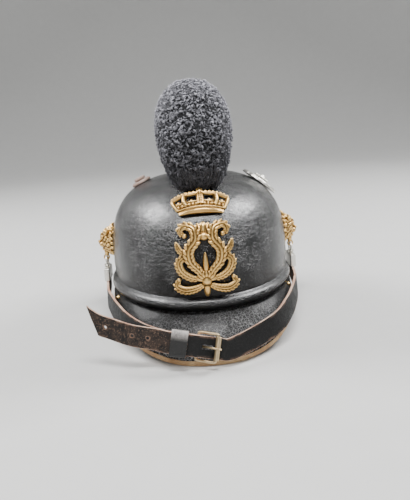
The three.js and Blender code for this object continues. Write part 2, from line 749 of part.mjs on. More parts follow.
function cockadeBoss() {
  const pieces = [lump([6.5, 6.5, 4], [0, 0, 5], 8, 5)];
  const pearls = 7;
  for (let pearl = 0; pearl < pearls; pearl += 1) {
    const turn = (pearl / pearls) * 2 * Math.PI;
    pieces.push(lump([2, 2, 1.8], [7 * Math.cos(turn), 7 * Math.sin(turn), 5], 5, 4));
  }
  const face = 1.4 + 1.6 * COCKADE.sheet + GAP;
  const floor = new THREE.BoxGeometry(60, 60, 20).translate(0, 0, face - 10);
  return fused(pieces).subtract(solidOf(floor));
}

// Rosette: a flat leather disc with a smaller one on it.
function rosetteTier(radius, base, thickness) {
  const rows = [
    [0, base],
    [radius * 0.94, base],
    [radius, base + thickness * 0.4],
    [radius * 0.8, base + thickness],
    [0, base + thickness],
  ].map(([x, y]) => new THREE.Vector2(x, y));
  return new THREE.LatheGeometry(rows, 16).rotateX(Math.PI / 2);
}

// Stud: a brass rivet head on each end of the visor.
function studGeometry(side) {
  const { angle, along, radius } = STUD;
  const onVisor = (turn, share) => brimPoint(VISOR, at(turn / (2 * VISOR.span), 0.5 - share, 0.5));
  const origin = onVisor(side * angle, along);
  const level = onVisor(side * angle + 1, along).sub(origin);
  const upward = onVisor(side * angle, along - 0.1).sub(origin).normalize();
  const face = level.cross(upward).normalize();
  const rows = [
    [0, GAP],
    [radius, GAP],
    [radius * 0.8, radius * 0.5],
    [0, radius * 0.75],
  ].map(([x, y]) => new THREE.Vector2(x, y));
  return new THREE.LatheGeometry(rows, 10).rotateX(Math.PI / 2).applyMatrix4(frameAt(origin, face, upward));
}

const helmet = new THREE.Group();

function add(name, geometry, material) {
  const mesh = new THREE.Mesh(geometry, material);
  mesh.name = name;
  helmet.add(mesh);
}

add("skull", skullGeometry(), BLACK_LEATHER);
add("visor", brimGeometry(VISOR), BLACK_LEATHER);
add("neck_guard", brimGeometry(GUARD), BLACK_LEATHER);
add("crest", geometryOf(solidOf(crestGeometry()).subtract(skullBlank)), WOOL);
add("crown", geometryOf(solidOf(crownGeometry()).subtract(skullBlank)), BRASS);
add("emblem", emblemGeometry(), BRASS);
for (const [name, side] of [["left", -1], ["right", 1]]) {
  add(`lion_boss_${name}`, bossGeometry(side), BRASS);
  add(`strap_ring_${name}`, ringGeometry(side), WHITE_METAL);
  add(`strap_clip_${name}`, clipGeometry(side), WHITE_METAL);
  add(`visor_stud_${name}`, studGeometry(side), BRASS);
}
add("strap_left", strapLeftGeometry(), STRAP_LEATHER);
add("strap_right", strapRightGeometry(), STRAP_LEATHER);
add("buckle_frame", buckleTilt(wireLoop(BUCKLE.halfLength, BUCKLE.halfHeight, BUCKLE.wire, 10, 20)), BRASS);
add("buckle_roller", buckleTilt(rollerGeometry()), BRASS);
add("buckle_prong", prongGeometry(), BRASS);
add("strap_keeper", keeperGeometry(), STRAP_LEATHER);
const seated = (geometry, frame) => geometryOf(solidOf(geometry.applyMatrix4(frame)).subtract(skullBlank));
const cockadeFrame = domeFrame(COCKADE.angle, COCKADE.climb);
add("cockade_disc", seated(cockadeDisc(), cockadeFrame), WHITE_METAL);
add("cockade_boss", geometryOf(cockadeBoss()).applyMatrix4(cockadeFrame), WHITE_METAL);
const rosetteFrame = domeFrame(ROSETTE.angle, ROSETTE.climb);
const rosetteBase = rosetteTier(ROSETTE.radius, -1, ROSETTE.thickness + 1);
const rosetteButton = rosetteTier(ROSETTE.button, ROSETTE.thickness + GAP, ROSETTE.thickness);
add("rosette_base", seated(rosetteBase, rosetteFrame), PALE_LEATHER);
add("rosette_button", rosetteButton.applyMatrix4(rosetteFrame), PALE_LEATHER);

// The finished part stands on the floor with its box centred on the axis.
const box = new THREE.Box3().setFromObject(helmet);
const middle = box.getCenter(new THREE.Vector3());
helmet.position.set(-middle.x, -middle.y, -box.min.z);

export default helmet;
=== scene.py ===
# The looks of a crested leather helmet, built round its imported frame.
import math
import random

import bmesh
import bpy
import numpy as np
from mathutils import Matrix, Vector, noise


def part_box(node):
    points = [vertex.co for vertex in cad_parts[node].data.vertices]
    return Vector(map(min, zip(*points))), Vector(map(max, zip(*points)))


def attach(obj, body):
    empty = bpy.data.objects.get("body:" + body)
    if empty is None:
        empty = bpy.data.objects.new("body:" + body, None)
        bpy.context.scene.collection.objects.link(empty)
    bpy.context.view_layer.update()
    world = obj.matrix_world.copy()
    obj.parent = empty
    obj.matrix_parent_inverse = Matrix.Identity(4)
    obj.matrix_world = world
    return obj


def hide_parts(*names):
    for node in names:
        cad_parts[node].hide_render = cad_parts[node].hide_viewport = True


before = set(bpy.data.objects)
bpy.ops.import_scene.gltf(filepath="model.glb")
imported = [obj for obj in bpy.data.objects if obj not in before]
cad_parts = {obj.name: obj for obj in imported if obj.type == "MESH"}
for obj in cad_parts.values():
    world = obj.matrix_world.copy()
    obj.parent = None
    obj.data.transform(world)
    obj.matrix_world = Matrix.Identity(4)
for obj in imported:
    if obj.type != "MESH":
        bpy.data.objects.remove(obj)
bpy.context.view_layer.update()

# Sizes of the shapes are millimetres from the skull's axis at the middle of its bead, with the front at -Y.
# Angles, in degrees, start at the front. settle() turns a finished shape into metres in the part's frame.
MM = 0.001
GAP = 0.3
FLOOR = -43
SKULL = dict(
    half_width=88, half_length=107, top=104, shoulder=20, bulge=1.8, squareness=2.9,
    wall=2.7, bead=5.6, skirt=9.5,
)
MEAN_RADIUS = (SKULL["half_width"] + SKULL["half_length"]) / 2
VISOR = dict(
    facing=0, span=80, reach=33, end_reach=4, reach_sweep=1.9, footing=1, end_height=-14,
    height_sweep=1.3, edge=4.6, flat=1, belly=1.5, wear=1, worn_at=0.15,
)
GUARD = dict(
    facing=180, span=88, reach=22, end_reach=4, reach_sweep=1.2, footing=10, end_height=-15,
    height_sweep=1.2, edge=2.4, flat=2.2, belly=1, wear=0.45, worn_at=0,
)
CREST = dict(centre=14, root=70, egg=0.25)
# Sections of the crest from its front tip to its tail: fan angle, radius of the ridge, half width.
CREST_SECTIONS = [
    (49.5, 118, 14), (51, 147, 27), (57, 172, 33), (68, 185, 36), (84, 185, 36),
    (106, 178, 35), (130, 163, 32), (152, 143, 26), (168, 112, 13),
]
WOOL = dict(
    sink=2.4, curls=14400, kinds=16, pieces=4, thickness=0.58, knot=3.4, knot_rise=1.3,
    locks=420, lock_front=-50, lock_top=121, strays=1900, stray_thickness=0.08, seed=11,
)
# The wool's painted light and shade: its tone at the back, its painted shade low on the front, where the
# front begins, the depth it blends in over, and the heights over which it lightens to painted light on top.
WOOL_SHADING = dict(back=0.8, front=0.14, front_from=10, front_depth=40, low=104, rise=76)
STRAP = dict(width=18, thickness=2.6, lean=20)
# The strap's way from a side clip to the front: angle, distance out, height, rise on the viewer's right.
STRAP_WAY = [
    (89.5, 11, -13.5, 0), (80, 10.8, -16, 1.5), (68, 11.2, -15, 2.8),
    (56, 14, -16, 3.2), (43, 20, -17.5, 2.6), (30, 27, -19.5, 0),
]
# Its free tail: angle, distance out, height.
TAIL_WAY = [(-20, 40.5, -16.5), (-28, 48, -12), (-37, 55, -6), (-42.5, 64, -2.5)]
TAIL = dict(slant=0.8, curl=6, curl_length=20, holes=(19, 44, 57), hole_radius=1.5, worn=92)
BUCKLE = dict(angle=-2, out=34, height=-25.5, wire=1.3, half_length=9, half_height=11.6, lift=5, roll=11)
ROLLER = dict(outer=2.4, length=19.5)
KEEPER = dict(along=-24, length=14, sheet=1.4, play=0.7, corner=1.1)
PRONG = dict(wire=1.1, slot=4)
BOSS = dict(angle=94, height=38, half_width=14.5, half_height=17)
CLIP = dict(width=22.2, height=13, depth=5.8, sheet=1.1, out=11, corner=1.2)
LINK = dict(radius=2.6, wire=0.9, ring_radius=4.6, ring_wire=1.1, lug_drop=1.5, bail_drop=1.2)
CROWN = dict(half_width=19.5, height=24, climb=92, bend=64)
EMBLEM = dict(climb=41, relief=2.2, reach=45, petals=7)
COCKADE = dict(angle=98, climb=96, radius=21, sheet=1.5, flutes=16, crown=120, lift=1.4)
ROSETTE = dict(angle=-98, climb=114, radius=10.5, button=6.2, thickness=3, scallops=22, button_scallops=14)
STUD = dict(angle=66, along=0.35, radius=2.6, rise=0.6)
# The size of the voxels that fuse each casting.
VOXEL = dict(crown=0.35, emblem=0.42, lion=0.45, cockade=0.3)
# Levels, as dome_level() gives them, from which things stand clear of the dome.
CLEAR = dict(fitting=1.003, wool=1.006, curls=1.012)
UP = Vector((0, 0, 1))

skull_low, skull_high = (Vector(corner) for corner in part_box("skull"))
AXIS = (skull_low + skull_high) / 2
AXIS.z = skull_low.z + SKULL["skirt"] * MM


def lerp(start, end, share):
    return start + (end - start) * share


def clamp(value, low=0.0, high=1.0):
    return max(low, min(high, value))


# Places on the helmet.
def dome_profile(share, inset=0.0):
    """Radius and height of the dome's profile, from the shoulder at share 0 to the top at share 1."""
    angle = share * math.pi / 2
    power = 2 / SKULL["squareness"]
    radius = (MEAN_RADIUS + SKULL["bulge"] - inset) * max(0.0, math.cos(angle)) ** power
    rise = SKULL["top"] - SKULL["shoulder"] - inset
    return (0.0 if share >= 1 else radius, SKULL["shoulder"] + rise * math.sin(angle) ** power)


def profile_at(climb, fine=240):
    """The profile's point at a climb along the front of the dome from the bead."""
    stretch = SKULL["half_length"] / MEAN_RADIUS
    here = (MEAN_RADIUS, 0.0)
    for step in range(fine + 1):
        ahead = dome_profile(step / fine)
        length = math.hypot((ahead[0] - here[0]) * stretch, ahead[1] - here[1])
        if length >= climb:
            share = climb / length
            return (lerp(here[0], ahead[0], share), lerp(here[1], ahead[1], share))
        climb -= length
        here = ahead
    return here


def around(angle, out, height):
    """A point round the skull: an angle, a distance out from the wall along the oval's normal, a height."""
    turn = math.radians(angle)
    wide, deep = SKULL["half_width"], SKULL["half_length"]
    normal = Vector((math.sin(turn) / wide, -math.cos(turn) / deep, 0)).normalized()
    return Vector((wide * math.sin(turn), -deep * math.cos(turn), height)) + normal * out


def oval(radius):
    """Half the width and half the length of the skull's oval at a radius of its profile."""
    return radius * SKULL["half_width"] / MEAN_RADIUS, radius * SKULL["half_length"] / MEAN_RADIUS


def dome_scale():
    grow = 1 + SKULL["bulge"] / MEAN_RADIUS
    return SKULL["half_width"] * grow, SKULL["half_length"] * grow, SKULL["top"] - SKULL["shoulder"]


def dome_level(point):
    """1 on the dome's outer face, less inside it and more outside."""
    wide, deep, rise = dome_scale()
    plan = math.hypot(point.x / wide, point.y / deep)
    climb = max(0.0, point.z - SKULL["shoulder"]) / rise
    power = SKULL["squareness"]
    return (plan**power + climb**power) ** (1 / power)


def dome_normal(point):
    wide, deep, rise = dome_scale()
    spread = math.hypot(point.x / wide, point.y / deep) ** (SKULL["squareness"] - 2)
    climb = max(0.0, point.z - SKULL["shoulder"]) / rise
    slope = climb ** (SKULL["squareness"] - 1) / rise
    return Vector((spread * point.x / wide**2, spread * point.y / deep**2, slope)).normalized()


def off_dome(point, level):
    """The point, or where it comes out to a level of the dome."""
    here = dome_level(point)
    if here >= level:
        return point
    centre = Vector((0, 0, SKULL["shoulder"]))
    return centre + (point - centre) * (level / max(here, 0.01))


def seated(point):
    """The point, or where it comes to lie just clear of the dome along the dome's normal."""
    lift = 1 + GAP / MEAN_RADIUS - dome_level(point)
    return point + dome_normal(point) * max(0.0, lift) * MEAN_RADIUS


def on_front(across, profile, out):
    """A point of a badge bent on to the front of the dome, at a profile point, that far across and out."""
    wide, deep = oval(profile[0])
    point = Vector((across, -deep * math.sqrt(1 - (across / wide) ** 2), profile[1]))
    return point + dome_normal(point) * out


def frame_at(origin, outward, upward):
    """A frame with +Z outward and +Y as near as can be to a given direction."""
    level = upward.cross(outward).normalized()
    turn = Matrix((level, outward.cross(level), outward)).transposed().to_4x4()
    return Matrix.Translation(origin) @ turn


def dome_frame(angle, climb):
    radius, height = profile_at(climb)
    turn = math.radians(angle)
    wide, deep = oval(radius)
    origin = Vector((wide * math.sin(turn), -deep * math.cos(turn), height))
    return frame_at(origin, dome_normal(origin), UP)


def side_frame(side):
    origin = around(side * BOSS["angle"], 0, 0)
    outward = around(side * BOSS["angle"], 1, 0) - origin
    return frame_at(origin, outward, UP)


def buckle_frame():
    origin = around(BUCKLE["angle"], BUCKLE["out"], BUCKLE["height"])
    outward = around(BUCKLE["angle"], BUCKLE["out"] + 1, BUCKLE["height"]) - origin
    lean = math.radians(STRAP["lean"])
    face = outward * math.cos(lean) + UP * math.sin(lean)
    upward = UP * math.cos(lean) - outward * math.sin(lean)
    return frame_at(origin, face, upward) @ Matrix.Rotation(-math.radians(BUCKLE["roll"]), 4, "Z")


AT_BUCKLE = buckle_frame()
LUG = BOSS["height"] - BOSS["half_height"] - LINK["lug_drop"]
RING = LUG - LINK["ring_radius"]
BAIL = RING - LINK["ring_radius"]
CLIP_TOP = BAIL - LINK["bail_drop"]


class Way:
    """A smooth curve through points, read by its share of the whole length."""

    def __init__(self, points, fine=24):
        points = [Vector(p) for p in points]
        ends = [2 * points[0] - points[1], *points, 2 * points[-1] - points[-2]]
        self.points = [points[0]]
        for before, start, end, after in zip(ends, ends[1:], ends[2:], ends[3:]):
            self.points += [self.between(before, start, end, after, (n + 1) / fine) for n in range(fine)]
        self.reach = [0.0]
        for start, end in zip(self.points, self.points[1:]):
            self.reach.append(self.reach[-1] + (end - start).length)
        self.length = self.reach[-1]

    @staticmethod
    def between(before, start, end, after, share):
        gaps = [(b - a).length ** 0.5 for a, b in ((before, start), (start, end), (end, after))]
        leave = (start - before) / gaps[0] - (end - before) / (gaps[0] + gaps[1]) + (end - start) / gaps[1]
        arrive = (end - start) / gaps[1] - (after - start) / (gaps[1] + gaps[2]) + (after - end) / gaps[2]
        leave, arrive = leave * gaps[1], arrive * gaps[1]
        square, cube = share**2, share**3
        hold = (2 * cube - 3 * square + 1) * start + (3 * square - 2 * cube) * end
        return hold + (cube - 2 * square + share) * leave + (cube - square) * arrive

    def at(self, share):
        place = clamp(share) * self.length
        row = int(np.searchsorted(self.reach, place))
        row = min(max(row, 1), len(self.points) - 1)
        span = self.reach[row] - self.reach[row - 1]
        return self.points[row - 1].lerp(self.points[row], (place - self.reach[row - 1]) / span)

    def heading(self, share):
        step = 0.004
        return (self.at(share + step) - self.at(share - step)).normalized()


# Shared steps of mesh making.
def mesh_of(bm, name):
    """A mesh from a bmesh, which is let go."""
    mesh = bpy.data.meshes.new(name)
    bm.to_mesh(mesh)
    bm.free()
    return mesh


def added(name, data):
    """A new object in the scene."""
    thing = bpy.data.objects.new(name, data)
    bpy.context.scene.collection.objects.link(thing)
    return thing


def join(bm, part):
    """Adds a finished part to a mesh."""
    mesh = mesh_of(part, "part")
    bm.from_mesh(mesh)
    bpy.data.meshes.remove(mesh)


def placed(part, place):
    bmesh.ops.transform(part, matrix=place, verts=part.verts)
    return part


def recalculated(bm):
    bmesh.ops.recalc_face_normals(bm, faces=bm.faces)
    bm.normal_update()


def smoothed(bm):
    bmesh.ops.smooth_vert(
        bm, verts=bm.verts, factor=0.5, use_axis_x=True, use_axis_y=True, use_axis_z=True,
    )


def rounded(bm, edges, radius, segments):
    bmesh.ops.bevel(
        bm, geom=edges, offset=radius, offset_type="OFFSET", affect="EDGES", segments=segments, profile=0.5,
        material=-1,
    )


def moved(verts, move):
    for vert in verts:
        vert.co = move(vert.co.copy())


def is_along(edge, axis):
    way = edge.verts[0].co - edge.verts[1].co
    return abs(way[axis]) > 1e-6 and sum(abs(step) > 1e-6 for step in way) == 1


def grid_box(size, cuts):
    """A box of that size, with its edges along each axis cut into that many lengths."""
    box = bmesh.new()
    bmesh.ops.create_cube(box, size=1)
    for axis, count in enumerate(cuts):
        if count > 1:
            edges = [e for e in box.edges if is_along(e, axis)]
            bmesh.ops.subdivide_edges(box, edges=edges, cuts=count - 1, use_grid_fill=True)
    bmesh.ops.scale(box, vec=size, verts=box.verts)
    return box


def sheet_box(size, cuts, axis, open_ends, corner, thickness):
    """A box bent from sheet, its corners rounded, open at one or both ends of an axis.

    The thickness goes in from the box's size, or out where it is negative.
    """
    box = grid_box(size, cuts)

    def is_open(vert):
        return any(abs(vert.co[axis] - end * size[axis] / 2) < 1e-4 for end in open_ends)

    bmesh.ops.delete(box, geom=[f for f in box.faces if all(map(is_open, f.verts))], context="FACES")
    rounded(box, [e for e in box.edges if len(e.link_faces) == 2 and e.calc_face_angle() > 1], corner, 4)
    recalculated(box)
    bmesh.ops.solidify(box, geom=box.faces, thickness=thickness)
    recalculated(box)
    return box


def lump(bm, half, centre, turn=None, sides=16, rows=10):
    ball = bmesh.new()
    place = Matrix.Translation(centre) @ (turn or Matrix()) @ Matrix.Diagonal((*half, 1))
    bmesh.ops.create_uvsphere(ball, u_segments=sides, v_segments=rows, radius=1, matrix=place)
    join(bm, ball)


def pearl(bm, half, centre, turn=None):
    """A small lump with few facets."""
    lump(bm, half, centre, turn, sides=12, rows=8)


def rod(bm, way, radius_at, steps, sides, chase=None, face=UP):
    """A round rod along a way. chase(share, turn) swells its skin, with turn 0 on the side of face."""
    drum = bmesh.new()
    bmesh.ops.create_cone(drum, cap_ends=True, segments=sides, radius1=1, radius2=1, depth=1)
    bmesh.ops.subdivide_edges(drum, edges=[e for e in drum.edges if is_along(e, 2)], cuts=steps - 1)
    rings = {}

    def ring(share):
        heading = way.heading(share)
        side = face.cross(heading)
        side = side.normalized() if side.length > 1e-3 else heading.orthogonal().normalized()
        return way.at(share), heading.cross(side), side, radius_at(share)

    def move(p):
        share = round(p.z + 0.5, 5)
        if share not in rings:
            rings[share] = ring(share)
        centre, out, side, radius = rings[share]
        turn = math.atan2(p.x, p.y)
        swell = chase(share, turn) if chase else 1
        return centre + (out * math.cos(turn) + side * math.sin(turn)) * radius * swell

    moved(drum.verts, move)
    join(bm, drum)


def turned(profile, steps):
    """A turned shape from rows of radius and height, closed on the axis or on itself.

    It is rolled up from a grid, which gives its faces in the same order each run.
    """
    part = bmesh.new()
    rows = len(profile) - 1
    bmesh.ops.create_grid(part, x_segments=steps, y_segments=rows, size=0.5)

    def roll(p):
        turn = math.tau * (p.x + 0.5)
        radius, height = profile[round((p.y + 0.5) * rows)]
        return Vector((radius * math.cos(turn), radius * math.sin(turn), height))

    moved(part.verts, roll)
    bmesh.ops.remove_doubles(part, verts=part.verts, dist=1e-4)
    recalculated(part)
    return part


def wire_ring(radius, wire, steps=48, sides=14):
    """A closed ring of round wire, lying across Z."""
    turns = [math.tau * side / sides for side in range(sides + 1)]
    return turned([(radius + wire * math.sin(turn), wire * math.cos(turn)) for turn in turns], steps)


def evaluated(bm, add_modifiers):
    """The mesh after modifiers, as a new bmesh."""
    mesh = mesh_of(bm, "blank")
    blank = added("blank", mesh)
    add_modifiers(blank)
    made = blank.evaluated_get(bpy.context.evaluated_depsgraph_get())
    result = bmesh.new()
    result.from_mesh(made.to_mesh())
    made.to_mesh_clear()
    bpy.data.objects.remove(blank)
    bpy.data.meshes.remove(mesh)
    return result


def cast(bm, voxel):
    """Fuses overlapping shapes into one casting and softens it."""
    def remesh(blank):
        step = blank.modifiers.new("cast", "REMESH")
        step.mode = "VOXEL"
        step.voxel_size = voxel

    recalculated(bm)
    bm = evaluated(bm, remesh)
    smoothed(bm)
    return bm


def mark_hollows(bm, rounds=3):
    """Keeps how hollow the surface is at each vertex: 0 on ridges, 0.5 on the flat, 1 in grooves."""
    bm.normal_update()
    bm.verts.index_update()
    points = np.array([v.co for v in bm.verts])
    normals = np.array([v.normal for v in bm.verts])
    edges = np.array([(e.verts[0].index, e.verts[1].index) for e in bm.edges])
    here = np.concatenate([edges[:, 0], edges[:, 1]])
    there = np.concatenate([edges[:, 1], edges[:, 0]])
    ways = points[there] - points[here]
    spans = np.bincount(here, np.linalg.norm(ways, axis=1), len(points))
    hollow = np.bincount(here, (ways * normals[here]).sum(axis=1), len(points)) / spans
    for _ in range(rounds):
        near = np.bincount(here, hollow[there], len(points)) / np.bincount(here, minlength=len(points))
        hollow = (hollow + near) / 2
    layer = bm.verts.layers.float.new("hollow")
    for vert, value in zip(bm.verts, np.clip(0.5 + 5.5 * hollow, 0, 1)):
        vert[layer] = value


def settle(bm):
    """Millimetres from the skull's axis become metres in the part's frame."""
    bmesh.ops.scale(bm, vec=(MM, MM, MM), verts=bm.verts)
    bmesh.ops.translate(bm, vec=AXIS, verts=bm.verts)


def show(name, mesh, materials, nodes, sharp):
    for material in materials:
        mesh.materials.append(material)
    mesh.shade_smooth()
    if sharp:
        mesh.set_sharp_from_angle(angle=math.radians(sharp))
    piece = added(name, mesh)
    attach(piece, "root")
    if nodes:
        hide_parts(*nodes)
    return piece


def finished(name, bm, materials, nodes, sharp=0):
    settle(bm)
    return show(name, mesh_of(bm, name), materials, nodes, sharp)


def metal_piece(name, bm, finish, node, sharp=0):
    mark_hollows(bm)
    finished(name, bm, [finish], [node], sharp)


def brass_casting(name, bm, voxel, seat, node):
    """Fuses shapes made flat, marks their hollows and seats each point on the helmet."""
    bm = cast(bm, voxel)
    mark_hollows(bm)
    moved(bm.verts, seat)
    finished(name, bm, [BRASS], [node])


# Materials: a small hand for node trees, the shared effects, and one function for each finish.
class Nodes:
    """Adds and links the nodes of one tree."""

    def __init__(self, tree):
        self.tree = tree

    def add(self, kind, settings=None, **inputs):
        node = self.tree.nodes.new(kind)
        for name, value in (settings or {}).items():
            setattr(node, name, value)
        for name, value in inputs.items():
            self.feed(node.inputs[name.replace("_", " ")], value)
        return node

    def feed(self, socket, value):
        if isinstance(value, bpy.types.NodeSocket):
            self.tree.links.new(value, socket)
        else:
            socket.default_value = value

    def math(self, operation, first, second):
        node = self.add("ShaderNodeMath", dict(operation=operation))
        self.feed(node.inputs[0], first)
        self.feed(node.inputs[1], second)
        return node.outputs[0]

    def times(self, first, second):
        return self.math("MULTIPLY", first, second)

    def most(self, first, *others):
        for other in others:
            first = self.math("MAXIMUM", first, other)
        return first

    def ramp(self, value, low, high, start=0.0, end=1.0):
        limits = dict(Value=value, From_Min=low, From_Max=high, To_Min=start, To_Max=end)
        settings = dict(clamp=True, interpolation_type="SMOOTHSTEP")
        return self.add("ShaderNodeMapRange", settings, **limits).outputs["Result"]

    def mix(self, share, first, second):
        node = self.add("ShaderNodeMix", dict(data_type="RGBA"))
        for name, value in (("Factor_Float", share), ("A_Color", first), ("B_Color", second)):
            socket = next(s for s in node.inputs if s.identifier == name)
            self.feed(socket, value)
        return next(s for s in node.outputs if s.identifier == "Result_Color")

    def noise(self, where, scale, detail=4.0, rough=0.55, stretch=None):
        if stretch:
            where = self.add("ShaderNodeMapping", Vector=where, Scale=stretch).outputs[0]
        values = dict(Vector=where, Scale=scale, Detail=detail, Roughness=rough)
        return self.add("ShaderNodeTexNoise", **values).outputs["Fac"]

    def group(self, tree, **inputs):
        return self.add("ShaderNodeGroup", dict(node_tree=tree), **inputs).outputs

    def vector_math(self, operation, first, socket, second):
        node = self.add("ShaderNodeVectorMath", dict(operation=operation))
        self.feed(node.inputs[0], first)
        self.feed(node.inputs[socket], second)
        return node.outputs[0]

    def attribute(self, name):
        return self.add("ShaderNodeAttribute", dict(attribute_name=name)).outputs["Fac"]

    def place(self):
        return self.add("ShaderNodeTexCoord").outputs["Object"]


def colour(red, green, blue):
    return (red, green, blue, 1.0)


def effect(name, inputs, outputs):
    """A shared shader node group with vector and value inputs and value outputs."""
    tree = bpy.data.node_groups.new(name, "ShaderNodeTree")
    for label, kind in inputs:
        tree.interface.new_socket(label, in_out="INPUT", socket_type=kind)
    for label in outputs:
        tree.interface.new_socket(label, in_out="OUTPUT", socket_type="NodeSocketFloat")
    nodes = Nodes(tree)
    return tree, nodes, nodes.add("NodeGroupInput").outputs, nodes.add("NodeGroupOutput").inputs


VECTOR, VALUE = "NodeSocketVector", "NodeSocketFloat"


def crackle_effect():
    """Crazed lacquer: a web of fine cracks at two sizes, bent by noise."""
    inputs = [("Place", VECTOR), ("Scale", VALUE), ("Width", VALUE)]
    tree, n, given, result = effect("crackle", inputs, ["Cracks", "Height"])
    place, scale = given["Place"], given["Scale"]
    bend = n.add("ShaderNodeTexNoise", Vector=place, Scale=scale, Detail=3.0).outputs["Color"]
    shift = n.vector_math("SCALE", bend, "Scale", n.math("DIVIDE", 1.1, scale))
    where = n.vector_math("ADD", place, 1, shift)
    webs = []
    for size in (1.0, 2.6):
        edges = dict(feature="DISTANCE_TO_EDGE")
        web = n.add("ShaderNodeTexVoronoi", edges, Vector=where, Scale=n.times(scale, size))
        webs.append(n.ramp(web.outputs["Distance"], 0.0, given["Width"], 1.0, 0.0))
    patch = n.ramp(n.noise(place, n.times(scale, 0.16)), 0.35, 0.6, 0.5, 1.0)
    cracks = n.times(n.most(webs[0], n.times(webs[1], 0.6)), patch)
    n.feed(result["Cracks"], cracks)
    n.feed(result["Height"], n.math("SUBTRACT", 1.0, cracks))
    return tree


def grain_effect():
    """Leather grain: rounded pebbles with fine pores."""
    tree, n, given, result = effect("grain", [("Place", VECTOR), ("Scale", VALUE)], ["Height", "Pores"])
    place, scale = given["Place"], given["Scale"]
    pebble = n.add("ShaderNodeTexVoronoi", dict(feature="SMOOTH_F1"), Vector=place, Scale=scale)
    pores = n.ramp(n.noise(place, n.times(scale, 2.2), 3.0, 0.7), 0.52, 0.7)
    n.feed(result["Pores"], pores)
    height = n.math("SUBTRACT", 1.0, pebble.outputs["Distance"])
    n.feed(result["Height"], n.math("SUBTRACT", height, n.times(pores, 0.35)))
    return tree


def tarnish_and_shading_effect():
    """Handled metal: dark in the hollows, partly tarnish and partly painted shade, and dark in patches of
    tarnish; bright on the ridges, partly rubbed polish and partly painted highlight.
    """
    inputs = [("Place", VECTOR), ("Hollow", VALUE), ("Scale", VALUE)]
    tree, n, given, result = effect("tarnish_and_shading", inputs, ["Dark", "Bright", "Height"])
    place, hollow, scale = given["Place"], given["Hollow"], given["Scale"]
    patch = n.noise(place, scale, 6.0, 0.65)
    # Painted shade in the hollows, with tarnish in patches; below, painted highlight with polish on the
    # ridges.
    n.feed(result["Dark"], n.most(n.ramp(hollow, 0.52, 0.78), n.ramp(patch, 0.52, 0.75, 0.0, 0.6)))
    ridge = n.ramp(hollow, 0.25, 0.46, 1.0, 0.0)
    n.feed(result["Bright"], n.times(ridge, n.ramp(patch, 0.3, 0.6, 0.5, 1.0)))
    n.feed(result["Height"], n.noise(place, n.times(scale, 14.0), 3.0, 0.6))
    return tree


CRACKLE = crackle_effect()
GRAIN = grain_effect()
TARNISH_AND_SHADING = tarnish_and_shading_effect()


def finish_base(name, **sockets):
    """A new material, its nodes, its shader with the constant values set, and its texture place."""
    material = bpy.data.materials.new(name)
    material.use_nodes = True
    shader = material.node_tree.nodes["Principled BSDF"]
    for label, value in sockets.items():
        shader.inputs[label.replace("_", " ")].default_value = value
    nodes = Nodes(material.node_tree)
    return material, nodes, shader, nodes.place()


def dress(n, shader, base, height, depth):
    """Gives a shader its colour and, from a height, its bump, which is that many millimetres deep."""
    n.feed(shader.inputs["Base Color"], base)
    bump = n.add("ShaderNodeBump", Height=height, Distance=depth * MM, Strength=1.0)
    n.feed(shader.inputs["Normal"], bump.outputs["Normal"])


def lacquered_leather(name, scale, crack_tone_and_glint, crack_depth, gloss):
    """Black lacquer on leather, crazed with age and rubbed grey where the wear attribute says; its crack
    lines are painted pale, partly the crazing's own tone and partly painted highlight where the cracks catch
    light.
    """
    material, n, shader, place = finish_base(
        name, Coat_Roughness=0.15, Coat_Weight=0.08, Specular_IOR_Level=0.3,
    )
    cracks = n.group(CRACKLE, Place=place, Scale=scale, Width=0.08)
    wear = n.attribute("wear")
    cloud = n.noise(place, 26.0, 6.0, 0.6)
    speck = n.ramp(n.noise(place, 520.0, 5.0, 0.75), 0.55, 0.7)
    speck = n.times(speck, n.ramp(wear, 0.0, 1.0, 0.008, 0.4))
    shown = n.times(cracks["Cracks"], n.ramp(wear, 0.0, 1.0, 0.16, 1.0))
    base = n.mix(n.ramp(cloud, 0.35, 0.7), colour(0.0005, 0.0005, 0.0006), colour(0.0014, 0.0015, 0.0017))
    base = n.mix(speck, base, colour(0.12, 0.12, 0.122))
    # Pale crack lines: partly the crazing's own tone, partly painted highlight.
    base = n.mix(n.times(shown, crack_tone_and_glint), base, colour(0.52, 0.52, 0.525))
    n.feed(shader.inputs["Roughness"], n.ramp(cloud, 0.3, 0.75, gloss, gloss + 0.1))
    swell = n.noise(place, 60.0, 3.0, 0.5)
    wrinkle = n.noise(place, 310.0, 5.0, 0.65)
    height = n.math("ADD", n.times(cracks["Height"], crack_depth), n.times(swell, 0.8))
    height = n.math("ADD", height, wrinkle)
    for stretch in ((1.0, 1.0, 0.1), (0.12, 0.12, 1.0)):
        scratches = n.ramp(n.noise(place, 260.0, 4.0, 0.7, stretch), 0.56, 0.64)
        height = n.math("SUBTRACT", height, n.times(scratches, 0.2))
    dress(n, shader, base, height, 0.45)
    return material


def bare_leather(name, roughness, fibre, patch_scale, patch, streaks, tones, depth):
    """Bare leather: patches of two tones under darker fibres. The tones are dark, pale and fibre."""
    material, n, shader, place = finish_base(name, Roughness=roughness)
    dark, pale, streak = (colour(*tone) for tone in tones)
    fibres = n.noise(place, *fibre)
    base = n.mix(n.ramp(n.noise(place, patch_scale, 4.0, 0.6), *patch), dark, pale)
    base = n.mix(n.ramp(fibres, *streaks), base, streak)
    dress(n, shader, base, fibres, depth)
    return material


def raw_edge_leather():
    """The cut edge of thick leather: tan, fibrous, darker in streaks."""
    tones = ((0.40, 0.23, 0.11), (0.66, 0.47, 0.26), (0.10, 0.05, 0.028))
    fibre = (520.0, 4.0, 0.7, (0.35, 0.35, 1.6))
    return bare_leather(
        "raw_edge_leather", 0.78, fibre, 34.0, (0.35, 0.68), (0.5, 0.75, 0.0, 0.75), tones, 0.3,
    )


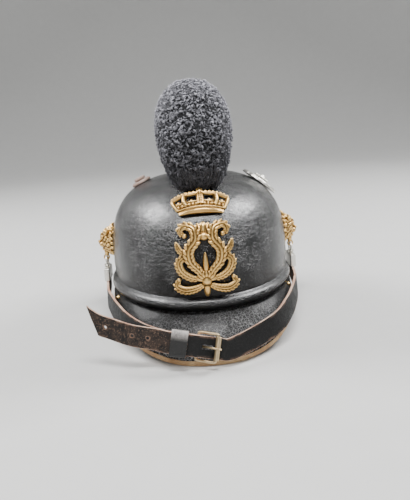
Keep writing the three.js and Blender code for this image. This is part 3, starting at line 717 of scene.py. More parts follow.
def strap_edge_leather():
    """The trimmed edge of the strap: pinkish tan, rubbed darker in places."""
    tones = ((0.46, 0.25, 0.165), (0.72, 0.52, 0.40), (0.09, 0.045, 0.03))
    fibre = (700.0, 4.0, 0.7)
    return bare_leather(
        "strap_edge_leather", 0.72, fibre, 70.0, (0.35, 0.65), (0.54, 0.76, 0.0, 0.6), tones, 0.2,
    )


def flesh_side_leather():
    """The unlacquered inside of the leather: dark brown suede."""
    tones = ((0.05, 0.03, 0.02), (0.12, 0.075, 0.05), (0.03, 0.018, 0.012))
    nap = (420.0, 5.0, 0.7)
    return bare_leather(
        "flesh_side_leather", 0.9, nap, 30.0, (0.3, 0.7), (0.45, 0.75, 0.0, 0.6), tones, 0.3,
    )


def strap_face_leather():
    """The strap's black grain side: rubbed brown near its edges and all over its free tail."""
    material, n, shader, place = finish_base("strap_face_leather", Specular_IOR_Level=0.26)
    grain = n.group(GRAIN, Place=place, Scale=620.0)
    tail = n.attribute("tail")
    patch = n.noise(place, 120.0, 5.0, 0.7)
    speck = n.ramp(n.noise(place, 620.0, 5.0, 0.8), 0.53, 0.62)
    worn = n.times(n.ramp(patch, 0.4, 0.62), tail)
    rubbed = n.times(n.ramp(n.attribute("edge"), 0.72, 1.0), n.ramp(patch, 0.42, 0.66))
    share = n.most(
        n.times(n.times(tail, speck), 0.55), n.times(rubbed, 0.7), n.times(worn, 0.12),
        n.times(n.attribute("rim"), 0.9),
    )
    base = n.mix(grain["Pores"], colour(0.005, 0.005, 0.0052), colour(0.016, 0.0155, 0.0155))
    base = n.mix(share, base, colour(0.27, 0.165, 0.115))
    n.feed(shader.inputs["Roughness"], n.ramp(patch, 0.3, 0.7, 0.46, 0.66))
    dress(n, shader, base, grain["Height"], 0.22)
    return material


def keeper_leather():
    """The keeper: black leather rubbed to pale grey on its upper bend."""
    material, n, shader, place = finish_base("keeper_leather", Specular_IOR_Level=0.45)
    grain = n.group(GRAIN, Place=place, Scale=700.0)
    rub = n.times(n.attribute("rub"), n.ramp(n.noise(place, 300.0, 5.0, 0.7), 0.3, 0.6, 0.35, 1.0))
    base = n.mix(grain["Pores"], colour(0.006, 0.006, 0.0065), colour(0.016, 0.016, 0.016))
    base = n.mix(rub, base, colour(0.46, 0.43, 0.41))
    n.feed(shader.inputs["Roughness"], n.ramp(rub, 0.0, 1.0, 0.42, 0.75))
    dress(n, shader, base, grain["Height"], 0.16)
    return material


def pale_leather():
    """The rosette's pinkish tan leather, with painted shade in its hollows."""
    material, n, shader, place = finish_base("pale_leather", Roughness=0.7)
    grain = n.group(GRAIN, Place=place, Scale=560.0)
    patch = n.ramp(n.noise(place, 90.0, 5.0, 0.65), 0.3, 0.7)
    base = n.mix(patch, colour(0.31, 0.21, 0.17), colour(0.56, 0.44, 0.385))
    base = n.mix(n.times(grain["Pores"], 0.55), base, colour(0.17, 0.09, 0.065))
    # Painted shade in the rosette's hollows.
    base = n.mix(n.ramp(n.attribute("hollow"), 0.55, 0.8), base, colour(0.10, 0.055, 0.04))
    dress(n, shader, base, grain["Height"], 0.25)
    return material


def cast_metal(name, bright, body, dark, gloss, scale):
    """A handled metal: bright ridges, partly painted highlight, a duller body, and dark hollows, partly
    painted shade.
    """
    material, n, shader, place = finish_base(name, Metallic=1.0)
    age_and_shading = n.group(TARNISH_AND_SHADING, Place=place, Hollow=n.attribute("hollow"), Scale=scale)
    base = n.mix(n.times(age_and_shading["Dark"], 0.85), body, dark)
    base = n.mix(n.times(age_and_shading["Bright"], 0.8), base, bright)
    n.feed(shader.inputs["Roughness"], n.ramp(age_and_shading["Dark"], 0.0, 1.0, gloss, gloss + 0.28))
    dress(n, shader, base, age_and_shading["Height"], 0.08)
    return material


def wool():
    """Black wool with painted light and shade: painted shade at the curls' roots, painted light at their tips
    and over the top.
    """
    material, n, shader, place = finish_base(
        "wool", Roughness=0.9, Sheen_Weight=0.2, Sheen_Roughness=0.45, Sheen_Tint=colour(0.72, 0.71, 0.78),
    )
    fibre = n.noise(place, 1800.0, 3.0, 0.7)
    # Painted light and shade: the tip attribute darkens the roots and the tone attribute carries the light
    # over the top.
    lit = n.times(n.ramp(n.attribute("tip"), 0.1, 1.0), n.attribute("tone"))
    base = n.mix(lit, colour(0.003, 0.0034, 0.005), colour(0.54, 0.54, 0.60))
    base = n.mix(n.ramp(fibre, 0.45, 0.8, 0.0, 0.4), base, colour(0.01, 0.01, 0.012))
    dress(n, shader, base, fibre, 0.2)
    return material


SKULL_LACQUER = lacquered_leather("skull_lacquer", scale=300.0, crack_tone_and_glint=0.05, crack_depth=0.4, gloss=0.11)
BRIM_LACQUER = lacquered_leather("brim_lacquer", scale=330.0, crack_tone_and_glint=0.9, crack_depth=1.5, gloss=0.32)
RAW_EDGE = raw_edge_leather()
STRAP_EDGE = strap_edge_leather()
STRAP_FACE = strap_face_leather()
FLESH_SIDE = flesh_side_leather()
KEEPER_LEATHER = keeper_leather()
PALE_LEATHER = pale_leather()
# Each metal's bright colour stands partly for painted highlight on the ridges, and its dark colour partly for
# painted shade in the hollows.
BRASS = cast_metal(
    "brass", bright=colour(0.90, 0.61, 0.24), body=colour(0.50, 0.29, 0.09), dark=colour(0.06, 0.026, 0.009),
    gloss=0.28, scale=120.0,
)
OLD_BRASS = cast_metal(
    "old_brass", bright=colour(0.66, 0.52, 0.32), body=colour(0.33, 0.24, 0.135),
    dark=colour(0.05, 0.032, 0.018), gloss=0.34, scale=150.0,
)
WHITE_METAL = cast_metal(
    "white_metal", bright=colour(0.90, 0.88, 0.82), body=colour(0.80, 0.78, 0.72),
    dark=colour(0.42, 0.39, 0.34), gloss=0.4, scale=60.0,
)
WOOL_FINISH = wool()
STRAP_FINISHES = [STRAP_FACE, STRAP_EDGE, FLESH_SIDE]


# Skull: one lacquered dome with a rolled bead, and its bare inside.
def skull():
    wall, bead, skirt = SKULL["wall"], SKULL["bead"], SKULL["skirt"]
    rows, sides, chamfer = 44, 176, 0.4
    outside = [dome_profile(1 - row / rows) for row in range(rows + 1)]
    crease = [(MEAN_RADIUS + 0.7, bead + 3.4), (MEAN_RADIUS + 0.2, bead + 0.6)]
    turns = [math.radians(74 - 8.2 * step) for step in range(21)]
    roll = [(MEAN_RADIUS + bead * math.cos(turn), bead * math.sin(turn)) for turn in turns]
    foot = [
        (MEAN_RADIUS, -bead - 0.6), (MEAN_RADIUS, -skirt + chamfer), (MEAN_RADIUS - chamfer, -skirt),
        (MEAN_RADIUS - wall, -skirt),
    ]
    inside = [dome_profile(row / rows, wall) for row in range(rows + 1)]
    bm = turned(outside + crease + roll + foot + inside, sides)
    bmesh.ops.scale(bm, vec=(*oval(1), 1), verts=bm.verts)
    bm.normal_update()
    for face in bm.faces:
        centre = face.calc_center_median()
        outward = Vector((centre.x, centre.y, max(0.0, centre.z - SKULL["shoulder"])))
        face.material_index = 1 if face.normal.dot(outward) < 0 else 0
    wear = bm.verts.layers.float.new("wear")
    for vert in bm.verts:
        vert[wear] = clamp(0.3 + 0.8 * noise.noise(vert.co * 0.03) + 0.5 * noise.noise(vert.co * 0.11))
        dent = noise.noise(vert.co * 0.022) * 0.5 + noise.noise(vert.co * 0.07) * 0.18
        if dome_level(vert.co) > 0.99:
            vert.co += vert.normal * min(0.0, dent - 0.1)
    return finished("skull_leather", bm, [SKULL_LACQUER, FLESH_SIDE], ["skull"], sharp=60)


# Visor and neck guard: bent plates with a cut rim.
def brim_point(brim, across, along, level):
    """A point of a brim's plate: level 1 is its top, 0 the foot of its rim and -1 its underside."""
    angle = across * brim["span"]
    share = math.cos(math.radians(across * 86))
    reach = lerp(brim["end_reach"], brim["reach"], share ** brim["reach_sweep"])
    height = max(FLOOR, lerp(brim["end_height"], FLOOR - brim["footing"], share ** brim["height_sweep"]))
    swell = brim["belly"] * math.sin(math.pi * along)
    up = clamp(level)
    down = clamp(-level)
    inner_out = lerp(GAP, 1.2, up)
    inner_height = lerp(-SKULL["skirt"], -SKULL["bead"] - 0.9, up)
    outer_out = reach - brim["flat"] * down
    outer_height = height + brim["edge"] * up
    out = lerp(inner_out, outer_out, along) + swell
    return around(brim["facing"] + angle, out, lerp(inner_height, outer_height, along) + swell)


def brim(name, sizes, node):
    bm = grid_box((2, 1, 2), (120, 22, 4))
    bm.normal_update()
    for face in bm.faces:
        face.material_index = 1 if face.normal.y < -0.5 else 2 if face.normal.z < -0.5 else 0

    def is_rim(edge):
        return {f.material_index for f in edge.link_faces} == {0, 1} and abs(edge.verts[0].co.z - 1) < 0.01

    rim = [edge for edge in bm.edges if is_rim(edge)]
    layer = bm.verts.layers.float.new("along")
    wear = bm.verts.layers.float.new("wear")
    for vert in bm.verts:
        vert[layer] = 0.5 - vert.co.y
        patch = math.exp(-(((vert.co.x - sizes["worn_at"]) / 0.55) ** 2))
        vert[wear] = sizes["wear"] * clamp(patch * (0.35 + 1.1 * vert[layer]))
    moved(bm.verts, lambda p: brim_point(sizes, p.x, 0.5 - p.y, p.z))
    rounded(bm, rim, 0.7, 3)
    bm.normal_update()
    for vert in bm.verts:
        if vert[layer] > 0.9 and vert.co.z >= FLOOR + 0.5:
            vert.co += vert.normal * noise.noise(vert.co * 0.35) * 0.12
    finished(name, bm, [BRIM_LACQUER, RAW_EDGE, FLESH_SIDE], [node], sharp=50)


# Crest: a woollen roll whose surface is a mass of short curls.
def crest_point(share, turn):
    place = share * (len(CREST_SECTIONS) - 1)
    row = min(len(CREST_SECTIONS) - 2, int(place))
    angle, ridge, half_width = (
        lerp(a, b, place - row) for a, b in zip(CREST_SECTIONS[row], CREST_SECTIONS[row + 1])
    )
    end = max(0.0, math.sin(share * math.pi)) ** 0.4
    side = half_width * end * -math.sin(turn) * (1 + CREST["egg"] * math.cos(turn))
    radius = lerp(CREST["root"], ridge, 0.5 + 0.5 * math.cos(turn) * end)
    fan = math.radians(angle)
    return Vector((side, -radius * math.cos(fan), CREST["centre"] + radius * math.sin(fan)))


def crest_core():
    """The roll under the curls, set down on the dome."""
    rows, sides = 60, 64
    tilts = [math.pi * row / rows for row in range(rows + 1)]
    bm = turned([(math.sin(tilt), math.cos(tilt)) for tilt in tilts], sides)

    def move(p):
        share = math.acos(clamp(p.z, -1, 1)) / math.pi
        is_tip = min(share, 1 - share) < 1e-4
        return crest_point(share, 0 if is_tip else math.atan2(p.x, p.y))

    moved(bm.verts, move)
    recalculated(bm)
    for vert in bm.verts:
        vert.co -= vert.normal * WOOL["sink"]
    smoothed(bm)
    moved(bm.verts, lambda p: off_dome(p, CLEAR["wool"]))
    bm.normal_update()
    return bm


def curl_shape(seed, steps=5, sides=3):
    """One short curl: a bent worm of wool, its root at the origin and +Z out of the roll."""
    draw = random.Random(seed)
    bow = draw.uniform(150, 290)
    radius = draw.uniform(0.75, 1.2)
    tilt = math.radians(draw.uniform(10, 75))
    twist = draw.uniform(0.2, 0.9)
    points = []
    for step in range(steps + 1):
        turn = math.radians(bow) * step / steps
        flat = Vector((radius * (1 - math.cos(turn)), twist * step / steps, radius * math.sin(turn)))
        points.append(Matrix.Rotation(tilt, 3, "X") @ flat + Vector((-radius, 0, 0.4)))

    def radius_at(share):
        return WOOL["thickness"] * (0.75 + 0.4 * math.sin(math.pi * share))

    return strand(Way(points, 3), radius_at, steps, sides, (0, 1, 0))


def strand(way, radius_at, steps, sides, face=(0.3, 0.5, 0.8)):
    """The points and faces of a rod of wool, as plain arrays."""
    bm = bmesh.new()
    rod(bm, way, radius_at, steps, sides, face=Vector(face))
    bm.verts.index_update()
    shape = (np.array([v.co for v in bm.verts]), [[v.index for v in f.verts] for f in bm.faces])
    bm.free()
    return shape


def scattered(core, count, draw, keep=lambda point: True):
    """Random places all over the part of the roll that stands clear of the dome: point and normal."""

    def is_woolly(face):
        centre = face.calc_center_median()
        return dome_level(centre) > CLEAR["curls"] and keep(centre)

    faces = [face for face in core.faces if is_woolly(face)]
    areas = np.cumsum([f.calc_area() for f in faces])
    places = []
    for _ in range(count):
        face = faces[min(int(np.searchsorted(areas, draw.random() * areas[-1])), len(faces) - 1)]
        u, v = draw.random(), draw.random()
        if len(face.verts) == 4:
            weights = ((1 - u) * (1 - v), u * (1 - v), u * v, (1 - u) * v)
        else:
            u, v = (1 - u, 1 - v) if u + v > 1 else (u, v)
            weights = (1 - u - v, u, v)
        point = sum((corner.co * w for corner, w in zip(face.verts, weights)), Vector())
        normal = sum((corner.normal * w for corner, w in zip(face.verts, weights)), Vector()).normalized()
        places.append((point, normal))
    return places


def any_way(draw):
    return Vector((draw.uniform(-1, 1), draw.uniform(-1, 1), draw.uniform(-1, 1)))


def wool_piece(name, shapes, tips, tones):
    """One piece from many placed strands, with how near the tip each point is and its tone, which carries
    painted light and shade.
    """
    counts = [len(verts) for verts, _ in shapes]
    starts = np.concatenate([[0], np.cumsum(counts)[:-1]])
    points = np.concatenate([verts for verts, _ in shapes]) * MM + np.array(AXIS)
    faces = [[corner + start for corner in face] for start, (_, rows) in zip(starts, shapes) for face in rows]
    mesh = bpy.data.meshes.new(name)
    mesh.from_pydata(points.tolist(), [], faces)
    for label, values in (("tip", tips), ("tone", tones)):
        layer = mesh.attributes.new(label, "FLOAT", "POINT")
        layer.data.foreach_set("value", np.concatenate(values).astype(np.float32))
    show(name, mesh, [WOOL_FINISH], [], 0)


def wool_shading(point):
    """Painted light and shade on the wool: painted light over the top, a steadier tone at the back, and
    painted shade where it hangs low at the front.
    """
    front = clamp((WOOL_SHADING["front_from"] - point.y) / WOOL_SHADING["front_depth"])
    height = clamp((point.z - WOOL_SHADING["low"]) / WOOL_SHADING["rise"])
    return lerp(WOOL_SHADING["back"], lerp(WOOL_SHADING["front"], 1, height), front)


def crest():
    draw = random.Random(WOOL["seed"])
    core = crest_core()
    kinds = [curl_shape(seed) for seed in range(WOOL["kinds"])]
    places = scattered(core, WOOL["curls"], draw)
    for number in range(WOOL["pieces"]):
        shapes, tips, tones = [], [], []
        for point, normal in places[number :: WOOL["pieces"]]:
            verts, faces = draw.choice(kinds)
            knot = clamp(1.2 - 1.6 * noise.voronoi(point / WOOL["knot"])[0][0])
            up = any_way(draw)
            size = draw.uniform(0.8, 1.2)
            rise = lerp(-WOOL["knot_rise"], WOOL["knot_rise"], knot)
            place = frame_at(point + normal * rise, normal, up) @ Matrix.Scale(size, 4)
            turn = np.array(place.to_3x3())
            shapes.append((verts @ turn.T + np.array(place.translation), faces))
            # How near the tip each point is; the wool finish turns it into painted shade at the roots.
            tips.append(np.clip(0.25 + verts[:, 2] / 2.4, 0, 1))
            # Painted shade darkens the curls in the gaps between knots; the wool's painted light and shade
            # and a random tone of its own come on top.
            tone = wool_shading(point) * lerp(0.16, 1.0, knot) * draw.uniform(0.45, 1.25)
            tones.append(np.full(len(verts), clamp(tone)))
        wool_piece(f"crest_curls_{number}", shapes, tips, tones)
    crest_locks(core, draw)
    crest_strays(core, draw)
    finished("crest_core", core, [WOOL_FINISH], ["crest"])


def crest_locks(core, draw):
    """Longer locks that hang down the front of the roll on to the skull, dark partly in their own tone and
    partly as painted shade under the roll.
    """
    shapes = []
    down = Vector((0, 0, -1))

    def hangs(p):
        return p.y < WOOL["lock_front"] and p.z < WOOL["lock_top"]

    for point, normal in scattered(core, WOOL["locks"], draw, hangs):
        fall = (down - normal * down.dot(normal)).normalized()
        length = draw.uniform(6, 11)
        sway = normal.cross(fall) * draw.uniform(-1.6, 1.6)
        turns = ((0, 0.6, 0), (0.35, 1.6, 0.7), (0.7, 1.5, -0.6), (1, 0.7, 0.5))
        points = [point + fall * length * s + normal * out + sway * w for s, out, w in turns]
        way = Way([off_dome(p, CLEAR["wool"]) for p in points], 4)
        thick = draw.uniform(0.35, 0.6)
        shapes.append(strand(way, lambda s: thick * (1.05 - 0.7 * s), 7, 4))
    tips = [np.full(len(verts), draw.uniform(0.3, 1.0)) for verts, _ in shapes]
    # Painted shade: the locks' tones are kept low, partly their own dark tone and partly the shade under the
    # roll.
    tones = [np.full(len(verts), draw.uniform(0.02, 0.2)) for verts, _ in shapes]
    wool_piece("crest_locks", shapes, tips, tones)


def crest_strays(core, draw):
    """Loose fibres that stand off the roll."""
    shapes, tones = [], []
    for point, normal in scattered(core, WOOL["strays"], draw):
        bend = any_way(draw)
        length = draw.uniform(2.4, 5)
        end = point + normal * length + bend * length * 0.4
        middle = point + normal * length * 0.6 - bend * length * 0.15
        way = Way([point, middle, end], 3)
        shapes.append(strand(way, lambda s: WOOL["stray_thickness"] * (1.2 - s), 4, 3))
        tones.append(np.full(len(shapes[-1][0]), wool_shading(point)))
    tips = [np.ones(len(verts)) for verts, _ in shapes]
    wool_piece("crest_strays", shapes, tips, tones)


# Crown: a pierced casting with a rolled foot, a jewelled circlet, a pearled rail on stems, and a cross.
def crown_arch(x):
    """How far the crown's level lines rise towards the middle."""
    return 1.6 * (1 - (x / CROWN["half_width"]) ** 2)


def crown_circlet(bm):
    """The rolled foot, pointed at both ends, and the flared circlet with its jewels."""
    half = CROWN["half_width"]
    shares = (-1, -0.5, 0, 0.5, 1)
    foot = Way([(share * half, 2.0 + crown_arch(share * half), 2.2) for share in shares])
    rod(bm, foot, lambda s: 0.25 + 2.9 * math.sin(math.pi * s) ** 0.8, 56, 18)
    plate = grid_box((2, 1, 2.4), (36, 10, 2))

    def flare(p):
        share = p.y + 0.5
        x = p.x * half
        thick = 1 - 0.5 * (x / half) ** 4
        height = lerp(2.4, 13.6, share) + crown_arch(x) * share
        return Vector((x * lerp(1, 1.14, share), height, (p.z + 1.2) * thick))

    moved(plate.verts, flare)
    join(bm, plate)
    for height, grow in ((7.1, 1.06), (13.6, 1.14)):
        line = Way([(share * half * grow, height + crown_arch(share * half), 2.4) for share in shares])
        rod(bm, line, lambda s: 0.6 + 0.16 * math.cos(s * 80 * math.pi), 160, 10)
    jewels = 13
    for jewel in range(jewels):
        x = half * lerp(-0.98, 0.98, jewel / (jewels - 1))
        size = (1.3, 1.2, 1.0) if jewel % 2 else (0.85, 1.9, 1.2)
        pearl(bm, size, (x, 10.4 + crown_arch(x), 2.6))


def fleuron(bm, x, y, size):
    """A three-lobed leaf on the circlet's edge."""
    pearl(bm, (0.55 * size, size, 0.6 * size), (x, y + 0.5 * size, 2.0))
    for hand in (-1, 1):
        lean = Matrix.Rotation(-hand * 0.9, 4, "Z")
        lobe = (x + hand * 0.75 * size, y + 0.2 * size, 2.0)
        pearl(bm, (0.45 * size, 0.7 * size, 0.5 * size), lobe, lean)


def crown_side(bm, side):
    """One half of the upper crown: the flared end, the pearled rail, the inner stem and two leaves."""
    def bar(points, radius, steps, sides):
        way = Way([(side * x, y, z) for x, y, z in points])
        rod(bm, way, lambda s: radius, steps, sides)
        return way

    bar([(20.2, 7.5, 1.4), (22.8, 13.4, 1.7), (25, 19.6, 1.8)], 1.9, 20, 12)
    rail = bar(
        [(25.2, 19.6, 1.8), (20, 21.9, 2.0), (13, 23.2, 2.2), (6, 23.8, 2.2), (0, 24, 2.2)], 2.1, 60, 14,
    )
    pearls = 8
    for number in range(pearls):
        pearl(bm, (1.45, 1.45, 1.5), rail.at((number + 0.4) / pearls) + Vector((0, 1.0, 1.0)))
    bar([(12.4, 10.5, 1.5), (14, 16.5, 2.1), (13.4, 22.8, 2.0)], 2.4, 24, 12)
    for number in range(3):
        pearl(bm, (1.2, 1.2, 1.1), (side * 13.9, 15.4 + 2.4 * number, 3.5))
    fleuron(bm, side * 7.6, 14.6, 2.3)
    fleuron(bm, side * 18.9, 14.0, 2.2)


def crown():
    bm = bmesh.new()
    crown_circlet(bm)
    for side in (-1, 1):
        crown_side(bm, side)
    rod(bm, Way([(0, 11, 1.4), (0, 17, 1.8), (0, 23.6, 1.6)]), lambda s: 3.2, 24, 18)
    for number in range(4):
        pearl(bm, (1.4, 1.3, 1.1), (0, 14.4 + 2.6 * number, 4.9))
    orb_and_cross = (((2.9, 2.4, 2.4), 25.8), ((1.5, 2.7, 1.4), 28.6), ((2.9, 1.4, 1.3), 28.9))
    for half, height in orb_and_cross:
        lump(bm, half, (0, height, 2.2))
    place = dome_frame(0, CROWN["climb"])
    bend = CROWN["bend"]
    middle = CROWN["height"] / 2

    def seat(p):
        turn = p.x / bend
        reach = bend + max(p.z, 0.0)
        return seated(place @ Vector((reach * math.sin(turn), p.y - middle, reach * math.cos(turn) - bend)))

    brass_casting("crown_brass", bm, VOXEL["crown"], seat, "crown")


# Emblem: a cast ornament of acanthus scrolls, the same on both sides of a middle stem.
# Its scrolls: the fullest radius, the chased leaves along each, and where it runs across and up.
SCROLLS = [
    (4.3, 10, (2, 5, 12, 13, 7, 9, 17, 20, 16), (-19, -10, -1, 9, 18, 27, 29, 24, 21)),
    (3.4, 7, (3, 12, 20, 22, 17, 14), (-16, -15, -9, -1, 3, -1)),
    (3.7, 6, (2, 10, 19, 25, 23), (-21, -25, -26, -22, -17)),
    (2.4, 4, (12.5, 20, 23.5), (5, 8, 15)),
    (2.2, 4, (6, 3, 4.5), (19, 25, 31)),
]
# Buds on the middle stem: half sizes, height, distance out.
EMBLEM_BUDS = [
    ((3, 7.5, 3), -26, 0), ((4.4, 5, 4), -18, 0.5), ((2.4, 11, 2.4), -4, 0), ((5, 3.6, 3.4), 20, 0.4),
    ((3, 5.6, 2.8), 27.5, 0),
]


def emblem():
    bm = bmesh.new()
    out = EMBLEM["relief"]
    for full, leaves, across, up in SCROLLS:
        for side in (1, -1):
            way = Way([(side * x, y, out) for x, y in zip(across, up)])
            scroll(bm, way, full, leaves)
    for half, up, lift in EMBLEM_BUDS:
        lump(bm, half, (0, up, out + lift), sides=24, rows=16)
    for petal in range(EMBLEM["petals"]):
        turn = math.radians(-75 + 25 * petal)
        reach = Vector((math.sin(turn) * 5.6, -18 + math.cos(turn) * 5.6, out + 2.2))
        lump(bm, (1.5, 3.2, 1.3), reach, Matrix.Rotation(-turn, 4, "Z"))
    climbs = np.arange(EMBLEM["climb"] - EMBLEM["reach"], EMBLEM["climb"] + EMBLEM["reach"], 0.5)
    rows = np.array([profile_at(climb) for climb in climbs])

    def seat(p):
        climb = EMBLEM["climb"] + p.y
        profile = [float(np.interp(climb, climbs, column)) for column in rows.T]
        return on_front(p.x, profile, max(GAP, p.z))

    brass_casting("emblem_brass", bm, VOXEL["emblem"], seat, "emblem")


def scroll(bm, way, full, leaves):
    """One scroll: a stem with a raised midrib, and leaf lobes that lap along both its sides."""
    def radius_at(share):
        return full * max(0.36, math.sin(math.pi * lerp(0.12, 0.92, share)) ** 0.7)

    def chase(share, turn):
        return 0.92 + 0.16 * math.exp(-((turn / 0.25) ** 2))

    rod(bm, way, radius_at, 110, 28, chase)
    end = radius_at(1) * 1.35
    lump(bm, (end, end, end), way.at(1.0))
    lobes = 2 * leaves
    for lobe in range(1, lobes):
        share = lobe / lobes
        heading = way.heading(share)
        across = UP.cross(heading).normalized()
        size = radius_at(share)
        for hand in (-1, 1):
            point = heading * 0.86 + across * hand * 0.5
            turn = Matrix.Rotation(math.atan2(-point.x, point.y), 4, "Z") @ Matrix.Rotation(0.22, 4, "X")
            place = way.at(share) + across * hand * size * 0.56 + Vector((0, 0, size * 0.5))
            pearl(bm, (0.36 * size + 0.2, 0.85 * size + 0.3, 0.5 * size), place, turn)


# Lion bosses: a cast head in a mane of locks, with an eye under the chin for the strap's ring.
# Lumps of the face, both sides where there is a side: half sizes, side, up, out.
LION_FACE = [
    ((7.4, 8.6, 7.6), 0, 2.2, 6.2), ((3.6, 3.1, 4.4), 2.3, -3.9, 12.6), ((2.6, 1.6, 1.7), 0, -1.0, 17.0),
    ((3.8, 2.5, 3.8), 0, -9.2, 11), ((1.9, 6.0, 3.2), 0, 3.0, 13.0), ((3.5, 1.5, 2.2), 3.9, 5.3, 12.6),
    ((1.4, 1.1, 1.1), 3.7, 3.1, 13.0), ((3.6, 4.2, 4), 5.4, -1.2, 9.4), ((2.8, 3.2, 2.6), 8.4, 9.8, 8.2),
    ((3.0, 3.4, 2.6), 2.8, 9.2, 9.8),
]
# Rings of mane locks: count, start radius, end radius, height out, thickness.
MANE = [(19, 7.5, 15.0, 2.4, 2.7), (16, 7.0, 13.0, 5.4, 2.5), (13, 6.4, 10.6, 8.0, 2.2)]


def lion_boss(side, label):
    bm = bmesh.new()
    lump(bm, (13, 15.4, 6.5), (0, 0, 0.5), sides=32, rows=20)
    for half, apart, up, out in LION_FACE:
        for cheek in ((-1, 1) if apart else (1,)):
            lump(bm, half, (cheek * apart, up, out), sides=20, rows=14)
    for count, start, end, out, thick in MANE:
        for lock in range(count):
            mane_lock(bm, math.tau * (lock + 0.5 * (out > 5)) / count, start, end, out, thick)
    for cheek in (-1, 1):
        way = Way([(cheek * 0.6, -2.6, 17.4), (cheek * 2.6, -5.4, 16.2), (cheek * 5.2, -6.2, 13.2)])
        rod(bm, way, lambda s: 0.5 * (1 - 0.5 * s), 12, 8)
    bmesh.ops.translate(bm, vec=(0, BOSS["height"], 0), verts=bm.verts)
    lump(bm, (2, 4.6, 2.6), (0, LUG + 5.6, CLIP["out"] - 0.6))
    join(bm, link_eye(LUG))
    place = side_frame(side)
    brass_casting(
        f"lion_{label}_brass", bm, VOXEL["lion"], lambda p: seated(place @ p), f"lion_boss_{label}",
    )


def link_eye(height):
    """A small eye of wire that hangs across the clip, at a height in the side's frame."""
    across = Matrix.Translation((0, height, CLIP["out"])) @ Matrix.Rotation(math.pi / 2, 4, "Y")
    return placed(wire_ring(LINK["radius"], LINK["wire"], 32, 10), across)


def mane_lock(bm, turn, start, end, out, thick):
    """One lock of the mane, waved as it runs out and thinned to a point; long and short by turns."""
    stretch = BOSS["half_height"] / BOSS["half_width"]
    end *= 1 + 0.07 * math.sin(turn * 5 + out)
    points = []
    for share, swing, lift in ((0, 0, 0.8), (0.4, 0.12, 1.3), (0.75, -0.02, 0.2), (1, 0.06, -1.6)):
        angle = turn + swing
        reach = lerp(start, end, share)
        points.append((math.sin(angle) * reach, math.cos(angle) * reach * stretch, out + lift))
    rod(bm, Way(points), lambda s: thick * (1.0 - 0.8 * s**2), 16, 10)


# Strap hangers: white-metal rings and sleeves.
def hanger(side, label):
    place = side_frame(side)
    ring = wire_ring(LINK["ring_radius"], LINK["ring_wire"])
    placed(ring, place @ Matrix.Translation((0, RING, CLIP["out"])))
    metal_piece(f"ring_{label}_metal", ring, WHITE_METAL, f"strap_ring_{label}")
    size = (CLIP["width"], CLIP["height"], CLIP["depth"])
    clip = sheet_box(size, (6, 4, 2), 1, (-1,), CLIP["corner"], CLIP["sheet"])
    placed(clip, Matrix.Translation((0, CLIP_TOP - CLIP["height"] / 2, CLIP["out"])))
    join(clip, link_eye(BAIL))
    placed(clip, place)
    metal_piece(f"clip_{label}_metal", clip, WHITE_METAL, f"strap_clip_{label}", sharp=50)


# Chin strap: two leather straps joined by the buckle, with a free tail.
def strap_frame(way, share):
    centre = way.at(share)
    along = way.heading(share)
    wide, deep = SKULL["half_width"], SKULL["half_length"]
    outward = Vector((centre.x / wide**2, centre.y / deep**2, 0)).normalized()
    lean = math.radians(STRAP["lean"]) * max(0.0, -outward.y)
    face = outward * math.cos(lean) + Vector((0, 0, math.sin(lean)))
    face = (face - along * face.dot(along)).normalized()
    turn = Matrix((along, face.cross(along), face)).transposed().to_4x4()
    return Matrix.Translation(centre) @ turn


def ribbon(bm, length, steps, place_of, slant=0.0, tail_from=None):
    """A strap of that length with softened edges: place_of(share) is the frame that carries each section."""
    width, thick = STRAP["width"], STRAP["thickness"]
    flat = grid_box((length, width, thick), (steps, 8, 2))

    def is_corner(point):
        return abs(abs(point.y) - width / 2) < 1e-4 and abs(abs(point.z) - thick / 2) < 1e-4

    corners = [e for e in flat.edges if is_along(e, 0) and is_corner(e.verts[0].co)]
    rounded(flat, corners, 0.5, 3)
    flat.normal_update()
    for face in flat.faces:
        is_cut = abs(face.normal.y) > 0.5 or abs(face.normal.x) > 0.5
        face.material_index = 1 if is_cut else 2 if face.normal.z < -0.5 else 0
    edge_layer = flat.verts.layers.float.new("edge")
    tail_layer = flat.verts.layers.float.new("tail")
    for vert in flat.verts:
        share = vert.co.x / length + 0.5
        vert[edge_layer] = abs(vert.co.y) * 2 / width
        vert[tail_layer] = 0 if tail_from is None else clamp((share - tail_from) * 12)
        rag = 1.4 * noise.noise((vert.co.y * 0.45, 0, 0)) if slant else 0
        cut = (rag - slant * (vert.co.y + width / 2)) * share**16 / length
        curl = clamp(1 - (1 - share - cut) * length / TAIL["curl_length"]) ** 2 if slant else 0
        section = Vector((0, vert.co.y - TAIL["curl"] * curl, vert.co.z * (1 - 0.3 * curl)))
        vert.co = place_of(share + cut) @ section
    join(bm, flat)


def side_way(side):
    place = side_frame(side)
    heights = (CLIP_TOP - 4, CLIP_TOP - CLIP["height"], CLIP_TOP - CLIP["height"] - 5)
    start = [place @ Vector((0, height, CLIP["out"])) for height in heights]
    lift = max(0, side)
    return start + [around(side * angle, out, up + lift * rise) for angle, out, up, rise in STRAP_WAY]


def in_buckle(x, z):
    return AT_BUCKLE @ Vector((x, 0, z))


LAYER = STRAP["thickness"] + GAP
FOLD_INNER = BUCKLE["wire"] + GAP


def punched(bm, cutters):
    """The strap with holes cut by other closed shapes; the holes show the leather's inside."""
    for face in cutters.faces:
        face.material_index = STRAP_FINISHES.index(FLESH_SIDE)
    drill = mesh_of(cutters, "drill")
    for material in STRAP_FINISHES:
        drill.materials.append(material)
    tool = added("drill", drill)

    def cut(blank):
        step = blank.modifiers.new("cut", "BOOLEAN")
        step.operation = "DIFFERENCE"
        step.solver = "MANIFOLD"
        step.object = tool

    bm = evaluated(bm, cut)
    bpy.data.objects.remove(tool)
    bpy.data.meshes.remove(drill)
    return bm


